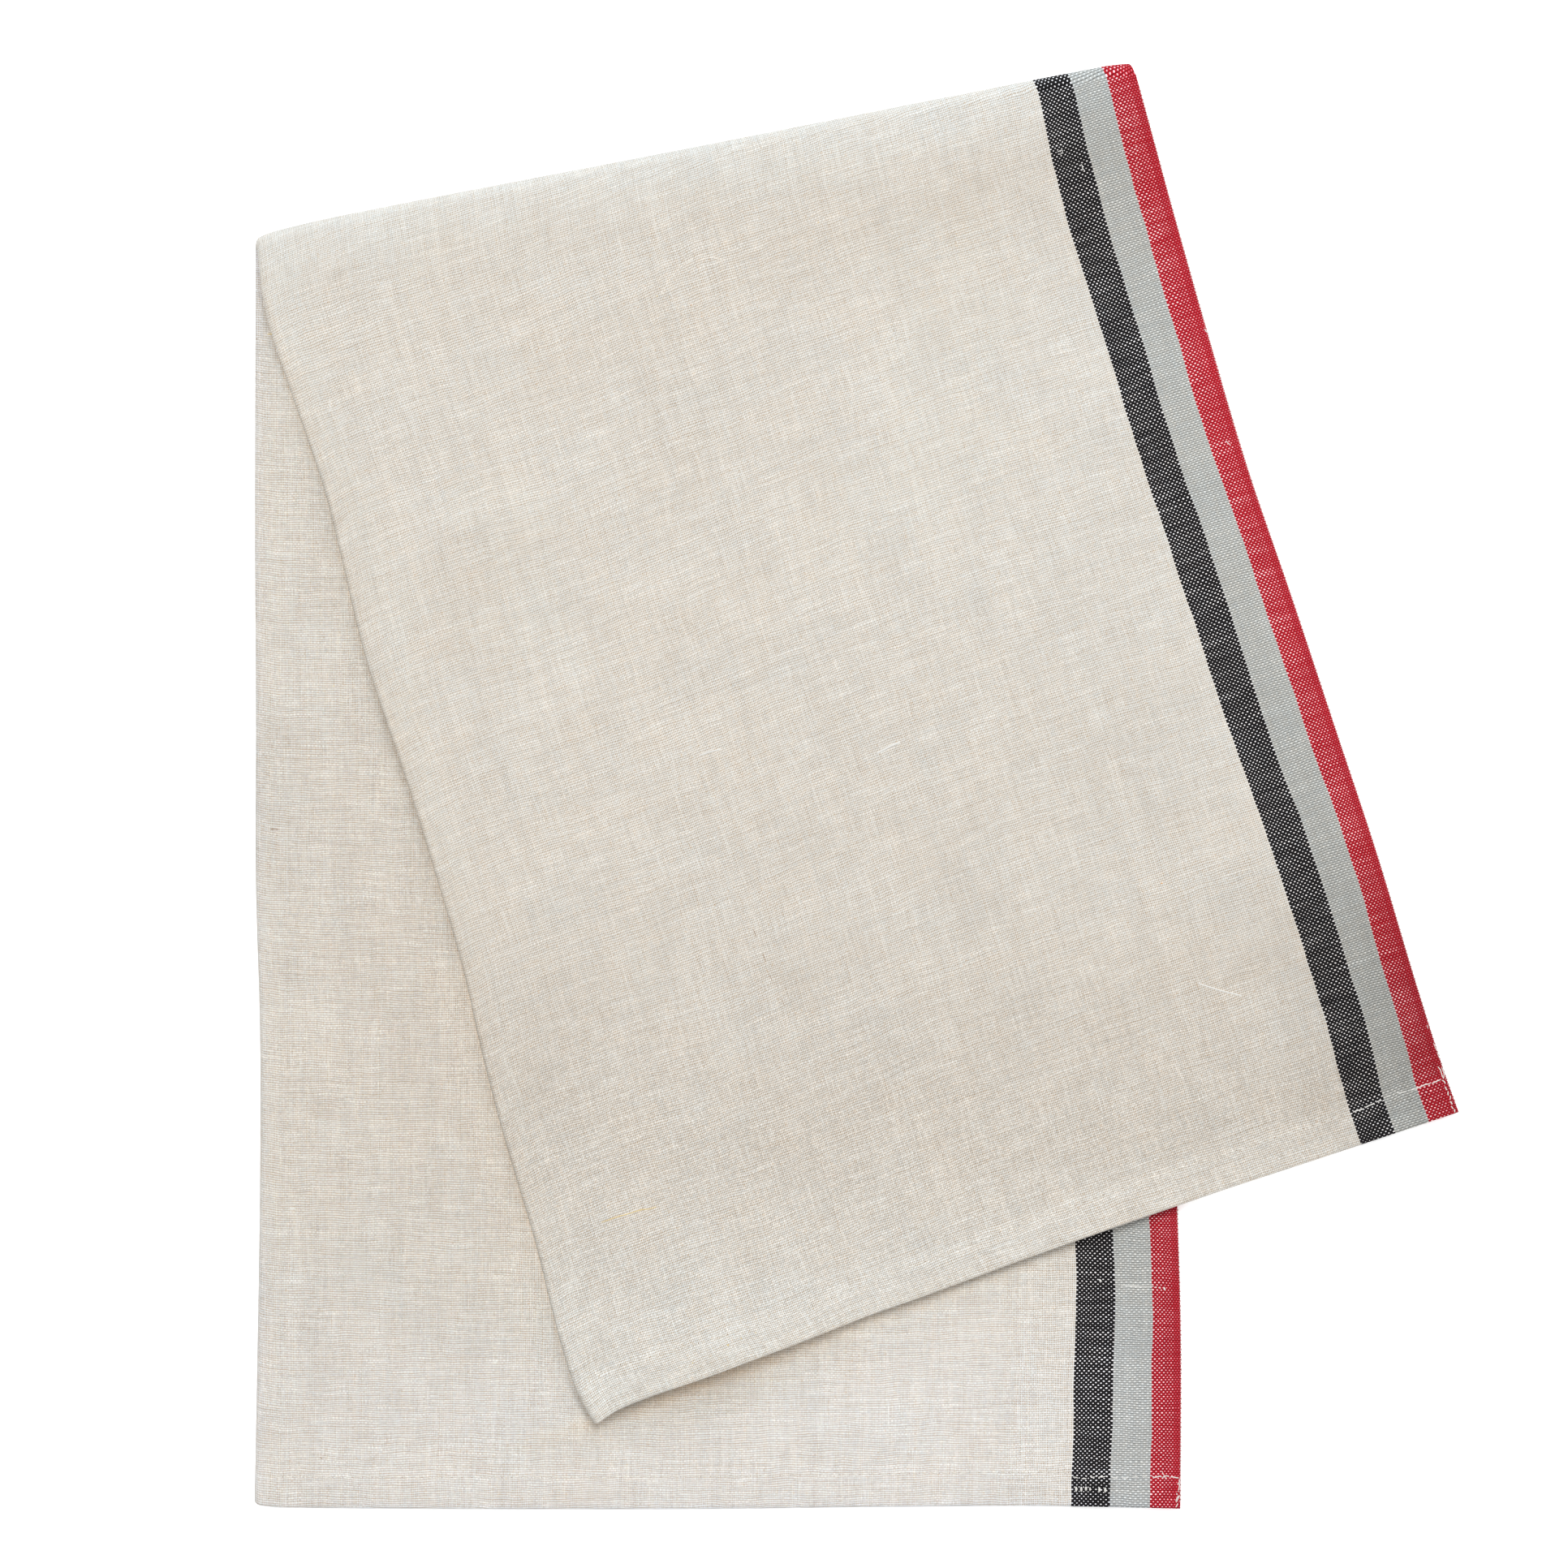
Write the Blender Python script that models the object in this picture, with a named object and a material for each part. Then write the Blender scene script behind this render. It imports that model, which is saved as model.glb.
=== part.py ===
"""A linen tea towel, folded in half lengthwise and once more across its middle, lying flat.

The cloth is one sheet. Its section is two layers joined by the lengthwise fold, and that
section is carried from the lower hem up to the cross fold, over it, and down the flap, which
swings out to one side. Both selvedges lie on the +X side and both hems on the -Y side.

The origin is the middle of the footprint, on the surface that the towel lies on. +Y runs from
the lower hem towards the cross fold, and +Z is up.
"""

import math
from bisect import bisect_right
from collections import namedtuple

import bmesh
import bpy
from mathutils import Vector

MM = 0.001

# The cloth
HALF_WIDTH = 250 * MM         # across the folded towel, from the lengthwise fold to the selvedge
SHEET = 1.0 * MM              # thickness of a single layer
HEM = 1.4 * MM                # thickness of a layer where its hem is turned in
HEM_DEPTH = 9 * MM            # from the hem's edge to its stitching
HEM_EASE = 3 * MM             # the hem's thickness fades over this much more
LAYER_GAP = 0.35 * MM         # between layers that lie on each other
SELVEDGE_STEP = 1.5 * MM      # a covered selvedge lies this far back from the one that covers it
HEM_STEP = 2.0 * MM           # and a covered hem this far

# The lengthwise fold
FOLD_PUFF = 0.4 * MM          # the layers stand this much further apart at the fold
PUFF_REACH = 10 * MM

# The cross fold
FOLD_ANGLE = math.radians(11)
FOLD_HOLLOW = 1.0 * MM        # radius left open inside the fold
FOLD_CREEP = 0.6 * MM         # how far the cloth moves along the fold as it goes over it
SETTLE = 45 * MM              # the flap comes down to lie flat over this distance

# The flap beyond the lower part's selvedge
DROP_START = 5 * MM           # it stays level for this far past the selvedge
DROP_RUN = 30 * MM            # and comes down to the surface over this distance

LOWER_LENGTH = 371 * MM       # cross fold to hem, at mid-width
FLAP_LENGTH = 319 * MM

Section = namedtuple("Section", "share fold_x fold_y selvedge_x selvedge_y")
Edge = namedtuple("Edge", "share bow")
Swell = namedtuple("Swell", "across along reach_across reach_along rise")

# Sections across the lower part, from the cross fold (share 0) to its hem (share 1). Each runs
# from a point on the lengthwise fold to one on the selvedge, in millimetres.
LOWER_SECTIONS = [Section(*row) for row in (
    (0.000, -165.8, 149.3, 75.9, 196.2),
    (0.125, -165.9, 106.1, 78.2, 146.6),
    (0.250, -165.9, 62.7, 80.3, 97.3),
    (0.375, -165.6, 19.4, 82.3, 48.0),
    (0.500, -165.6, -24.0, 84.2, -1.3),
    (0.625, -164.4, -67.4, 86.1, -50.6),
    (0.750, -164.4, -110.8, 87.7, -99.9),
    (0.875, -165.0, -154.1, 89.2, -149.2),
    (1.000, -165.8, -197.6, 89.1, -198.8),
)]

# The same for the flap, from the cross fold to its own hem
FLAP_SECTIONS = [Section(*row) for row in (
    (0.000, -165.2, 149.4, 76.7, 196.3),
    (0.060, -163.2, 131.5, 81.5, 178.9),
    (0.125, -156.6, 109.0, 86.6, 160.3),
    (0.250, -143.2, 68.2, 96.8, 124.3),
    (0.375, -132.4, 27.2, 107.5, 88.4),
    (0.500, -120.2, -13.3, 119.6, 53.0),
    (0.625, -107.5, -53.8, 131.4, 17.5),
    (0.750, -97.5, -94.7, 143.2, -18.1),
    (0.875, -86.0, -135.3, 154.0, -53.9),
    (0.960, -78.2, -163.0, 161.6, -77.9),
    (1.000, -72.3, -174.3, 165.8, -89.6),
)]

# How far each crosswise edge bows up from a straight line between its ends, in millimetres, at
# shares of the way from the lengthwise fold to the selvedge
LOWER_HEM = [Edge(*row) for row in (
    (0.00, 0.0),
    (0.03, -0.8),
    (0.43, -0.8),
    (0.70, 0.2),
    (0.85, 0.6),
    (1.00, 0.0),
)]
FLAP_HEM = [Edge(*row) for row in (
    (0.00, 0.0),
    (0.03, 1.0),
    (0.12, 1.3),
    (0.25, 0.7),
    (0.44, 1.9),
    (0.50, 2.2),
    (0.68, 2.0),
    (0.84, 0.9),
    (1.00, 0.0),
)]
CROSS_FOLD = [Edge(*row) for row in (
    (0.00, -1.8),
    (0.02, -0.8),
    (0.10, 0.0),
    (0.50, 0.0),
    (0.97, 0.3),
    (1.00, -0.4),
)]

# Places where the flap stands a little off the cloth under it: shares across and along the
# flap, and the reach each way and the rise in millimetres
FLAP_SWELLS = [Swell(*row) for row in (
    (0.18, 1.00, 42, 26, 1.0),
    (0.45, 0.97, 30, 22, 0.5),
    (0.05, 0.42, 16, 60, 0.5),
    (0.38, 0.24, 60, 30, 0.5),
    (0.70, 0.38, 45, 40, 0.6),
    (0.58, 0.70, 60, 35, 0.5),
    (0.30, 0.60, 34, 52, 0.4),
)]

# Steps of the mesh
COLUMNS_AT_FOLD = (3 * MM, 7 * MM, 13 * MM)
COLUMN_WIDTH = 13 * MM
OUTER_BEND_STEPS = 8
INNER_BEND_STEPS = 4
ROW_LENGTH = 20 * MM
CROSS_FOLD_STEPS = 10
NEAR_FOLD = 0.02              # a share along a part, close to the cross fold

ALONG_FOLD = Vector((math.cos(FOLD_ANGLE), math.sin(FOLD_ANGLE)))
OVER_FOLD = Vector((-math.sin(FOLD_ANGLE), math.cos(FOLD_ANGLE)))
AXIS_HEIGHT = 2 * SHEET + LAYER_GAP + FOLD_HOLLOW

LINEN_COLOUR = (0.70, 0.64, 0.56, 1.0)
LINEN_ROUGHNESS = 0.9


def ease(value):
    """0 up to 0, 1 from 1 on, and a soft curve between."""
    value = min(max(value, 0.0), 1.0)
    return value * value * (3 - 2 * value)


def slope_at(knots, values, i):
    """The slope of a smooth curve at one of the points that it passes through."""
    before = max(i - 1, 0)
    after = min(i + 1, len(knots) - 1)
    return (values[after] - values[before]) / (knots[after] - knots[before])


def curve(rows, key, column, place):
    """The value of a column where key is place, on a smooth curve through the rows."""
    knots = [getattr(row, key) for row in rows]
    values = [getattr(row, column) for row in rows]
    i = min(max(bisect_right(knots, place) - 1, 0), len(knots) - 2)
    step = knots[i + 1] - knots[i]
    s = min(max((place - knots[i]) / step, 0.0), 1.0)
    leaving = slope_at(knots, values, i) * step
    arriving = slope_at(knots, values, i + 1) * step
    return (values[i] * (1 + 2 * s) * (1 - s) ** 2 + leaving * s * (1 - s) ** 2
            + values[i + 1] * s * s * (3 - 2 * s) - arriving * s * s * (1 - s))


def edge_point(sections, side, along):
    """A point on a part's lengthwise edge, in plan. side is fold or selvedge."""
    x = curve(sections, "share", side + "_x", along)
    y = curve(sections, "share", side + "_y", along)
    return Vector((x, y)) * MM


def on_part(sections, hem, across, along):
    """A point of the lower part or the flap, in plan, by shares of the way across and along."""
    fold_side = edge_point(sections, "fold", along)
    selvedge_side = edge_point(sections, "selvedge", along)
    line = (edge_point(sections, "selvedge", 1) - edge_point(sections, "fold", 1)).normalized()
    up_from_hem = Vector((-line.y, line.x))
    at_hem = up_from_hem * curve(hem, "share", "bow", across) * MM
    at_fold = OVER_FOLD * curve(CROSS_FOLD, "share", "bow", across) * MM
    return fold_side.lerp(selvedge_side, across) + at_fold.lerp(at_hem, along)


def lean(sections, hem, across):
    """How far a part's threads run along the cross fold for each step away from it."""
    step = on_part(sections, hem, across, NEAR_FOLD) - on_part(sections, hem, across, 0)
    return step.dot(ALONG_FOLD) / step.dot(-OVER_FOLD)


def puff(from_fold):
    """How much further apart the two layers stand at a distance from the lengthwise fold."""
    return FOLD_PUFF * math.exp(-(from_fold / PUFF_REACH) ** 2)


def layer_thickness(along, length):
    """One layer's thickness, by the share of the way from the cross fold to a hem."""
    from_hem = (1 - along) * length
    return HEM + (SHEET - HEM) * ease((from_hem - HEM_DEPTH) / HEM_EASE)


def stack_height(from_fold, thickness):
    """Height of the two layers together, at a distance from the lengthwise fold."""
    return 2 * thickness + LAYER_GAP + puff(from_fold)


def columns(end):
    """Distances from the lengthwise fold at which a layer has points, up to its selvedge."""
    start = COLUMNS_AT_FOLD[-1]
    count = round((HALF_WIDTH - start) / COLUMN_WIDTH)
    rest = [start + (end - start) * i / count for i in range(1, count + 1)]
    return list(COLUMNS_AT_FOLD) + rest


def bend(centre, radius, steps):
    """Points round the outside or the inside of the lengthwise fold, from the first layer up.

    The fold's centre lies as high as it lies in from the fold's outermost point.
    """
    turns = [math.pi * i / steps for i in range(steps + 1)]
    return [(centre - radius * math.sin(turn), centre - radius * math.cos(turn)) for turn in turns]


def section(thickness, first_end, second_end):
    """The closed outline of both layers and the lengthwise fold that joins them.

    Its points are (distance from the fold, height). The first layer lies on the surface and
    reaches to first_end, and the second lies on it and reaches to second_end.
    """
    outer = stack_height(0, thickness) / 2
    inner = outer - thickness
    first = columns(first_end)
    second = columns(second_end)
    outside = [(x, 0.0) for x in reversed(first)]
    outside += bend(outer, outer, OUTER_BEND_STEPS)
    outside += [(x, stack_height(x, thickness)) for x in second]
    inside = [(x, stack_height(x, thickness) - thickness) for x in reversed(second)]
    inside += reversed(bend(outer, inner, INNER_BEND_STEPS))
    inside += [(x, thickness) for x in first]
    return outside + inside


def height_below(place):
    """Height at which the flap's underside rests on the lower part, or on the surface past it."""
    x, y = place
    rows = LOWER_SECTIONS[::-1]
    fold_x = curve(rows, "fold_y", "fold_x", y / MM) * MM
    selvedge_x = curve(rows, "selvedge_y", "selvedge_x", y / MM) * MM
    covered = 1 - ease((x - selvedge_x - DROP_START) / DROP_RUN)
    return covered * (stack_height(max(x - fold_x, 0), SHEET) + LAYER_GAP)


def swell(across, along):
    """How far the flap stands off what it rests on."""
    rise = 0
    for row in FLAP_SWELLS:
        off_across = (across - row.across) * HALF_WIDTH / (row.reach_across * MM)
        off_along = (along - row.along) * FLAP_LENGTH / (row.reach_along * MM)
        rise += row.rise * MM * math.exp(-off_across ** 2 - off_along ** 2)
    return rise


def lower_point(from_fold, height, along, thickness):
    """A point of the lower part. The first layer's hem lies back from the one that covers it."""
    covered = 1 - height / stack_height(from_fold, thickness)
    along *= 1 - covered * HEM_STEP / LOWER_LENGTH
    place = on_part(LOWER_SECTIONS, LOWER_HEM, from_fold / HALF_WIDTH, along)
    return Vector((place.x, place.y, height))


def turning_point(from_fold, height, turn):
    """A point on the cross fold, where the section has turned over by an angle."""
    across = from_fold / HALF_WIDTH
    radius = AXIS_HEIGHT - height
    share = turn / math.pi
    leaving = lean(LOWER_SECTIONS, LOWER_HEM, across) * radius * math.pi
    arriving = lean(FLAP_SECTIONS, FLAP_HEM, across) * radius * math.pi
    creep = (FOLD_CREEP * ease(share) - leaving * share * (1 - share) ** 2
             - arriving * share ** 2 * (1 - share))
    axis = on_part(LOWER_SECTIONS, LOWER_HEM, across, 0)
    place = axis + ALONG_FOLD * creep + OVER_FOLD * radius * math.sin(turn)
    return Vector((place.x, place.y, AXIS_HEIGHT - radius * math.cos(turn)))


def flap_point(from_fold, height, along, thickness):
    """A point of the flap, where the layers lie the other way up and the first covers the second."""
    stack = stack_height(from_fold, thickness)
    across = from_fold / HALF_WIDTH
    along *= 1 - height / stack * HEM_STEP / FLAP_LENGTH
    place = on_part(FLAP_SECTIONS, FLAP_HEM, across, along)
    settled = ease(along * FLAP_LENGTH / SETTLE)
    at_cross_fold = 2 * AXIS_HEIGHT - stack_height(from_fold, SHEET)
    resting = height_below(place) + swell(across, along)
    underside = at_cross_fold + (resting - at_cross_fold) * settled
    return Vector((place.x, place.y, underside + stack - height))


def shares(length):
    """Shares of a part's length at which it has sections, from the cross fold to the hem."""
    plain = 1 - (HEM_DEPTH + HEM_EASE) / length
    count = round(plain * length / ROW_LENGTH)
    return [plain * i / count for i in range(count + 1)] + [1 - HEM_DEPTH / length, 1.0]


def rings():
    """The section carried from the lower hem, over the cross fold, to the flap's hem."""
    found = []
    for along in reversed(shares(LOWER_LENGTH)):
        thick = layer_thickness(along, LOWER_LENGTH)
        outline = section(thick, HALF_WIDTH - SELVEDGE_STEP, HALF_WIDTH)
        found.append([lower_point(x, height, along, thick) for x, height in outline])
    for i in range(1, CROSS_FOLD_STEPS):
        turn = math.pi * i / CROSS_FOLD_STEPS
        step = SELVEDGE_STEP * ease(turn / math.pi)
        outline = section(SHEET, HALF_WIDTH - SELVEDGE_STEP + step, HALF_WIDTH - step)
        found.append([turning_point(x, height, turn) for x, height in outline])
    for along in shares(FLAP_LENGTH):
        thick = layer_thickness(along, FLAP_LENGTH)
        outline = section(thick, HALF_WIDTH, HALF_WIDTH - SELVEDGE_STEP)
        found.append([flap_point(x, height, along, thick) for x, height in outline])
    return found


def build_towel(collection):
    """The whole cloth, as one closed solid."""
    mesh = bmesh.new()
    loops = [[mesh.verts.new(point) for point in ring] for ring in rings()]
    for ring, following in zip(loops, loops[1:]):
        for i, corner in enumerate(ring):
            beside = (i + 1) % len(ring)
            mesh.faces.new((corner, ring[beside], following[beside], following[i]))
    mesh.faces.new(loops[0])
    mesh.faces.new(loops[-1])
    bmesh.ops.recalc_face_normals(mesh, faces=mesh.faces)
    data = bpy.data.meshes.new("towel")
    mesh.to_mesh(data)
    mesh.free()
    data.shade_smooth()
    data.set_sharp_from_angle(angle=math.radians(50))
    towel = bpy.data.objects.new("towel", data)
    collection.objects.link(towel)
    return towel


def linen():
    """Natural linen."""
    material = bpy.data.materials.new("linen")
    material.use_nodes = True
    shader = material.node_tree.nodes["Principled BSDF"]
    shader.inputs["Base Color"].default_value = LINEN_COLOUR
    shader.inputs["Roughness"].default_value = LINEN_ROUGHNESS
    shader.inputs["Metallic"].default_value = 0.0
    return material


def main():
    for old in list(bpy.data.objects):
        bpy.data.objects.remove(old, do_unlink=True)
    collection = bpy.data.collections.new("tea_towel")
    bpy.context.scene.collection.children.link(collection)
    towel = build_towel(collection)
    towel.data.materials.append(linen())


main()
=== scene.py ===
"""The looks of a folded, striped linen tea towel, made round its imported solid.

The cloth is a thin closed sheet on the folds of the solid: the same section, carried by the same
rules from the lower hem over the cross fold to the flap's hem, in finer steps. Lengths in the
tables are millimetres in the frame of the solid, whose origin is the middle of the footprint on
the surface, with +Y towards the cross fold and +X towards the selvedges.
"""

import math
import random
from collections import namedtuple
from functools import partial, partialmethod

import bmesh
import bpy
import numpy as np
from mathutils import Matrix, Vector, noise
from mathutils.bvhtree import BVHTree


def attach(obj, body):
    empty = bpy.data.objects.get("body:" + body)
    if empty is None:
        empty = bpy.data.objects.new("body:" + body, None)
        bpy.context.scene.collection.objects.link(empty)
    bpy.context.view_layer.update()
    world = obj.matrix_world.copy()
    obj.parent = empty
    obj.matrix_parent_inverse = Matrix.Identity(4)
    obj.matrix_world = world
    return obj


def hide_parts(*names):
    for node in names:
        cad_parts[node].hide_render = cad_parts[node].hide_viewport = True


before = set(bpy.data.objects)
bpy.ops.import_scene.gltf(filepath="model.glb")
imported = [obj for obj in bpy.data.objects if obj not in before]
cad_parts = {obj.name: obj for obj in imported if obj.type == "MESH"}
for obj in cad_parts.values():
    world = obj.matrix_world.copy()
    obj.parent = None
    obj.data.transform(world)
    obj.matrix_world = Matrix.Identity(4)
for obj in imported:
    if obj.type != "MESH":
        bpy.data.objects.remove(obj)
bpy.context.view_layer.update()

MM = 0.001

# The view: straight down, with the middle and the width of the picture at the surface
VIEW_MIDDLE = (-20.0 * MM, 0.9 * MM)
VIEW_WIDTH = 431.8 * MM
VIEW_HEIGHT = 4.0
SENSOR_WIDTH = 36.0

# The solid's sizes, as its source names them
HALF_WIDTH = 250 * MM
SHEET = 1.0 * MM
HEM = 1.4 * MM
HEM_DEPTH = 9 * MM
HEM_EASE = 3 * MM
LAYER_GAP = 0.35 * MM
SELVEDGE_STEP = 1.5 * MM
HEM_STEP = 2.0 * MM
FOLD_PUFF = 0.4 * MM
PUFF_REACH = 10 * MM
FOLD_ANGLE = math.radians(11)
FOLD_HOLLOW = 1.0 * MM
FOLD_CREEP = 0.6 * MM
SETTLE = 45 * MM
DROP_START = 5 * MM
DROP_RUN = 30 * MM
LOWER_LENGTH = 371 * MM
FLAP_LENGTH = 319 * MM
NEAR_FOLD = 0.02
ALONG_FOLD = np.array((math.cos(FOLD_ANGLE), math.sin(FOLD_ANGLE)))
OVER_FOLD = np.array((-math.sin(FOLD_ANGLE), math.cos(FOLD_ANGLE)))
AXIS_HEIGHT = 2 * SHEET + LAYER_GAP + FOLD_HOLLOW


def table(kind, *rows):
    """A table whose columns have names."""
    return [kind(*row) for row in rows]


Section = namedtuple("Section", "share fold_x fold_y selvedge_x selvedge_y")
Edge = namedtuple("Edge", "share bow")
Swell = namedtuple("Swell", "across along reach_across reach_along rise")

LOWER_SECTIONS = table(
    Section, (0, -165.8, 149.3, 75.9, 196.2), (0.125, -165.9, 106.1, 78.2, 146.6),
    (0.25, -165.9, 62.7, 80.3, 97.3), (0.375, -165.6, 19.4, 82.3, 48), (0.5, -165.6, -24, 84.2, -1.3),
    (0.625, -164.4, -67.4, 86.1, -50.6), (0.75, -164.4, -110.8, 87.7, -99.9),
    (0.875, -165, -154.1, 89.2, -149.2), (1, -165.8, -197.6, 89.1, -198.8),
)
FLAP_SECTIONS = table(
    Section, (0, -165.2, 149.4, 76.7, 196.3), (0.06, -163.2, 131.5, 81.5, 178.9),
    (0.125, -156.6, 109, 86.6, 160.3), (0.25, -143.2, 68.2, 96.8, 124.3),
    (0.375, -132.4, 27.2, 107.5, 88.4), (0.5, -120.2, -13.3, 119.6, 53),
    (0.625, -107.5, -53.8, 131.4, 17.5), (0.75, -97.5, -94.7, 143.2, -18.1),
    (0.875, -86, -135.3, 154, -53.9), (0.96, -78.2, -163, 161.6, -77.9), (1, -72.3, -174.3, 165.8, -89.6),
)
LOWER_HEM = table(
    Edge, (0, 0), (0.03, -0.8), (0.43, -0.8), (0.7, 0.2), (0.85, 0.6), (1, 0),
)
FLAP_HEM = table(
    Edge, (0, 0), (0.03, 1), (0.12, 1.3), (0.25, 0.7), (0.44, 1.9), (0.5, 2.2), (0.68, 2), (0.84, 0.9),
    (1, 0),
)
CROSS_FOLD = table(
    Edge, (0, -1.8), (0.02, -0.8), (0.1, 0), (0.5, 0), (0.97, 0.3), (1, -0.4),
)
FLAP_SWELLS = table(
    Swell, (0.18, 1, 42, 26, 1), (0.45, 0.97, 30, 22, 0.5), (0.05, 0.42, 16, 60, 0.5),
    (0.38, 0.24, 60, 30, 0.5), (0.7, 0.38, 45, 40, 0.6), (0.58, 0.7, 60, 35, 0.5), (0.3, 0.6, 34, 52, 0.4),
)

# How far the flap's edges stray from the solid's, outwards and up, by the share along the edge
Stray = namedtuple("Stray", "share out up", defaults=(0.0,))
FLAP_FOLD_STRAY = table(
    Stray, (0, 0), (0.09, -0.7), (0.15, -1.2), (0.2, -1.2), (0.26, -0.1), (0.32, 0.5), (0.38, 0),
    (0.44, -0.9), (0.5, -1.1), (0.56, -0.8), (0.62, -0.2), (0.67, 0.4), (0.73, 0.1), (0.79, -0.3),
    (0.84, -0.5), (0.9, 0.1), (1, 0),
)
FLAP_HEM_STRAY = table(
    Stray, (0, 1.5, 0.2), (0.03, 0.5, 0.8), (0.06, 0.3, 1.1), (0.13, 0.6, 1.4), (0.2, -0.1, 1.2),
    (0.26, -0.5, 0.5), (0.32, -0.7, 0), (0.38, -0.2, -0.3), (0.48, 0.2, -0.3), (0.6, 0.2, 0), (1, 0, 0),
)
STRAY_REACH = 14 * MM

# The cloth as made
CLOTH_WIDTH = 500 * MM
CLOTH_LENGTH = 700 * MM
CLOTH = 0.7 * MM              # thickness of the plain cloth
CLOTH_HEM = 1.25 * MM         # and of its turned hem
EDGE_ROUNDING = 0.25 * MM     # the selvedges and the hems' edges are rounded over this much
HEM_TAPER = 0.27              # each face draws in by this share of the thickness at a hem's edge
SELVEDGE_POINTS = (0.3, 0.7)

# Steps of the mesh
COLUMNS_AT_FOLD = (2.0 * MM, 3.0 * MM, 4.5 * MM, 6.5 * MM, 9.0 * MM)
COLUMN_WIDTH = 3.15 * MM
BEND_STEPS = 12
ROWS_AT_HEM = [row * MM for row in (0, 0.35, 1.0, 2.2, 3.8, 5.6, 7.2, 8.2, 9.0, 9.8, 10.8, 12.0, 14.2)]
ROW_LENGTH = 3.35 * MM
CROSS_FOLD_STEPS = 16

LOWER = 0
FLAP = 1
LENGTHS = (LOWER_LENGTH, FLAP_LENGTH)


def add_object(name, data):
    made = bpy.data.objects.new(name, data)
    bpy.context.scene.collection.objects.link(made)
    return made


def ease(value):
    """0 up to 0, 1 from 1 on, and a soft curve between."""
    value = np.clip(value, 0.0, 1.0)
    return value * value * (3 - 2 * value)


def curve(rows, column, place, key="share"):
    """The value of a column where key is place, on a smooth curve through the rows."""
    knots = np.array([getattr(row, key) for row in rows], float)
    values = np.array([getattr(row, column) for row in rows], float)
    before = np.maximum(np.arange(len(knots)) - 1, 0)
    after = np.minimum(np.arange(len(knots)) + 1, len(knots) - 1)
    slopes = (values[after] - values[before]) / (knots[after] - knots[before])
    i = np.clip(np.searchsorted(knots, place, side="right") - 1, 0, len(knots) - 2)
    step = knots[i + 1] - knots[i]
    s = np.clip((place - knots[i]) / step, 0.0, 1.0)
    return (values[i] * (1 + 2 * s) * (1 - s) ** 2 + slopes[i] * step * s * (1 - s) ** 2
            + values[i + 1] * s * s * (3 - 2 * s) - slopes[i + 1] * step * s * s * (1 - s))


def edge_point(sections, side, along):
    """Points on a part's lengthwise edge, in plan. side is fold or selvedge."""
    x = curve(sections, side + "_x", along)
    y = curve(sections, side + "_y", along)
    return np.stack(np.broadcast_arrays(x, y), -1) * MM


def on_part(part, across, along):
    """Points of the lower part or the flap, in plan, by shares of the way across and along."""
    sections, hem = ((LOWER_SECTIONS, LOWER_HEM), (FLAP_SECTIONS, FLAP_HEM))[part]
    across, along = np.broadcast_arrays(across, along)
    line = edge_point(sections, "selvedge", 1.0) - edge_point(sections, "fold", 1.0)
    line = line / np.linalg.norm(line)
    up_from_hem = np.array((-line[1], line[0]))
    at_hem = curve(hem, "bow", across)[..., None] * up_from_hem * MM
    at_fold = curve(CROSS_FOLD, "bow", across)[..., None] * OVER_FOLD * MM
    fold_side = edge_point(sections, "fold", along)
    selvedge_side = edge_point(sections, "selvedge", along)
    across = across[..., None]
    along = along[..., None]
    return (fold_side + (selvedge_side - fold_side) * across
            + at_fold + (at_hem - at_fold) * along)


def lean(part, across):
    """How far a part's threads run along the cross fold for each step away from it."""
    step = on_part(part, across, NEAR_FOLD) - on_part(part, across, 0.0)
    return (step @ ALONG_FOLD) / (step @ -OVER_FOLD)


def thread_length(part, across):
    """Length of the warp threads from the cross fold to a part's hem."""
    return np.linalg.norm(on_part(part, across, 1.0) - on_part(part, across, 0.0), axis=-1)


def puff(from_fold):
    """How much further apart the two layers stand at a distance from the lengthwise fold."""
    return FOLD_PUFF * np.exp(-(from_fold / PUFF_REACH) ** 2)


def hem_blend(from_hem):
    """1 in the hem, 0 in the plain cloth, at a distance from the hem's edge."""
    return 1 - ease((from_hem - HEM_DEPTH) / HEM_EASE)


def stack_height(from_fold, thickness):
    """Height of the two layers together, at a distance from the lengthwise fold."""
    return 2 * thickness + LAYER_GAP + puff(from_fold)


def height_below(place):
    """Height at which the flap's underside rests on the lower part, or on the surface past it."""
    x, y = place[..., 0], place[..., 1]
    rows = LOWER_SECTIONS[::-1]
    fold_x = curve(rows, "fold_x", y / MM, "fold_y") * MM
    selvedge_x = curve(rows, "selvedge_x", y / MM, "selvedge_y") * MM
    covered = 1 - ease((x - selvedge_x - DROP_START) / DROP_RUN)
    return covered * (stack_height(np.maximum(x - fold_x, 0), SHEET) + LAYER_GAP)


def swell(across, along):
    """How far the flap stands off what it rests on."""
    rise = 0
    for row in FLAP_SWELLS:
        off_across = (across - row.across) * HALF_WIDTH / (row.reach_across * MM)
        off_along = (along - row.along) * FLAP_LENGTH / (row.reach_along * MM)
        rise = rise + row.rise * MM * np.exp(-off_across ** 2 - off_along ** 2)
    return rise


def lower_points(from_fold, height, along, thickness):
    """Points of the lower part. The first layer's hem lies back from the one that covers it."""
    covered = 1 - height / stack_height(from_fold, thickness)
    place = on_part(LOWER, from_fold / HALF_WIDTH, along * (1 - covered * HEM_STEP / LOWER_LENGTH))
    return np.concatenate((place, height[..., None]), -1)


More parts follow.
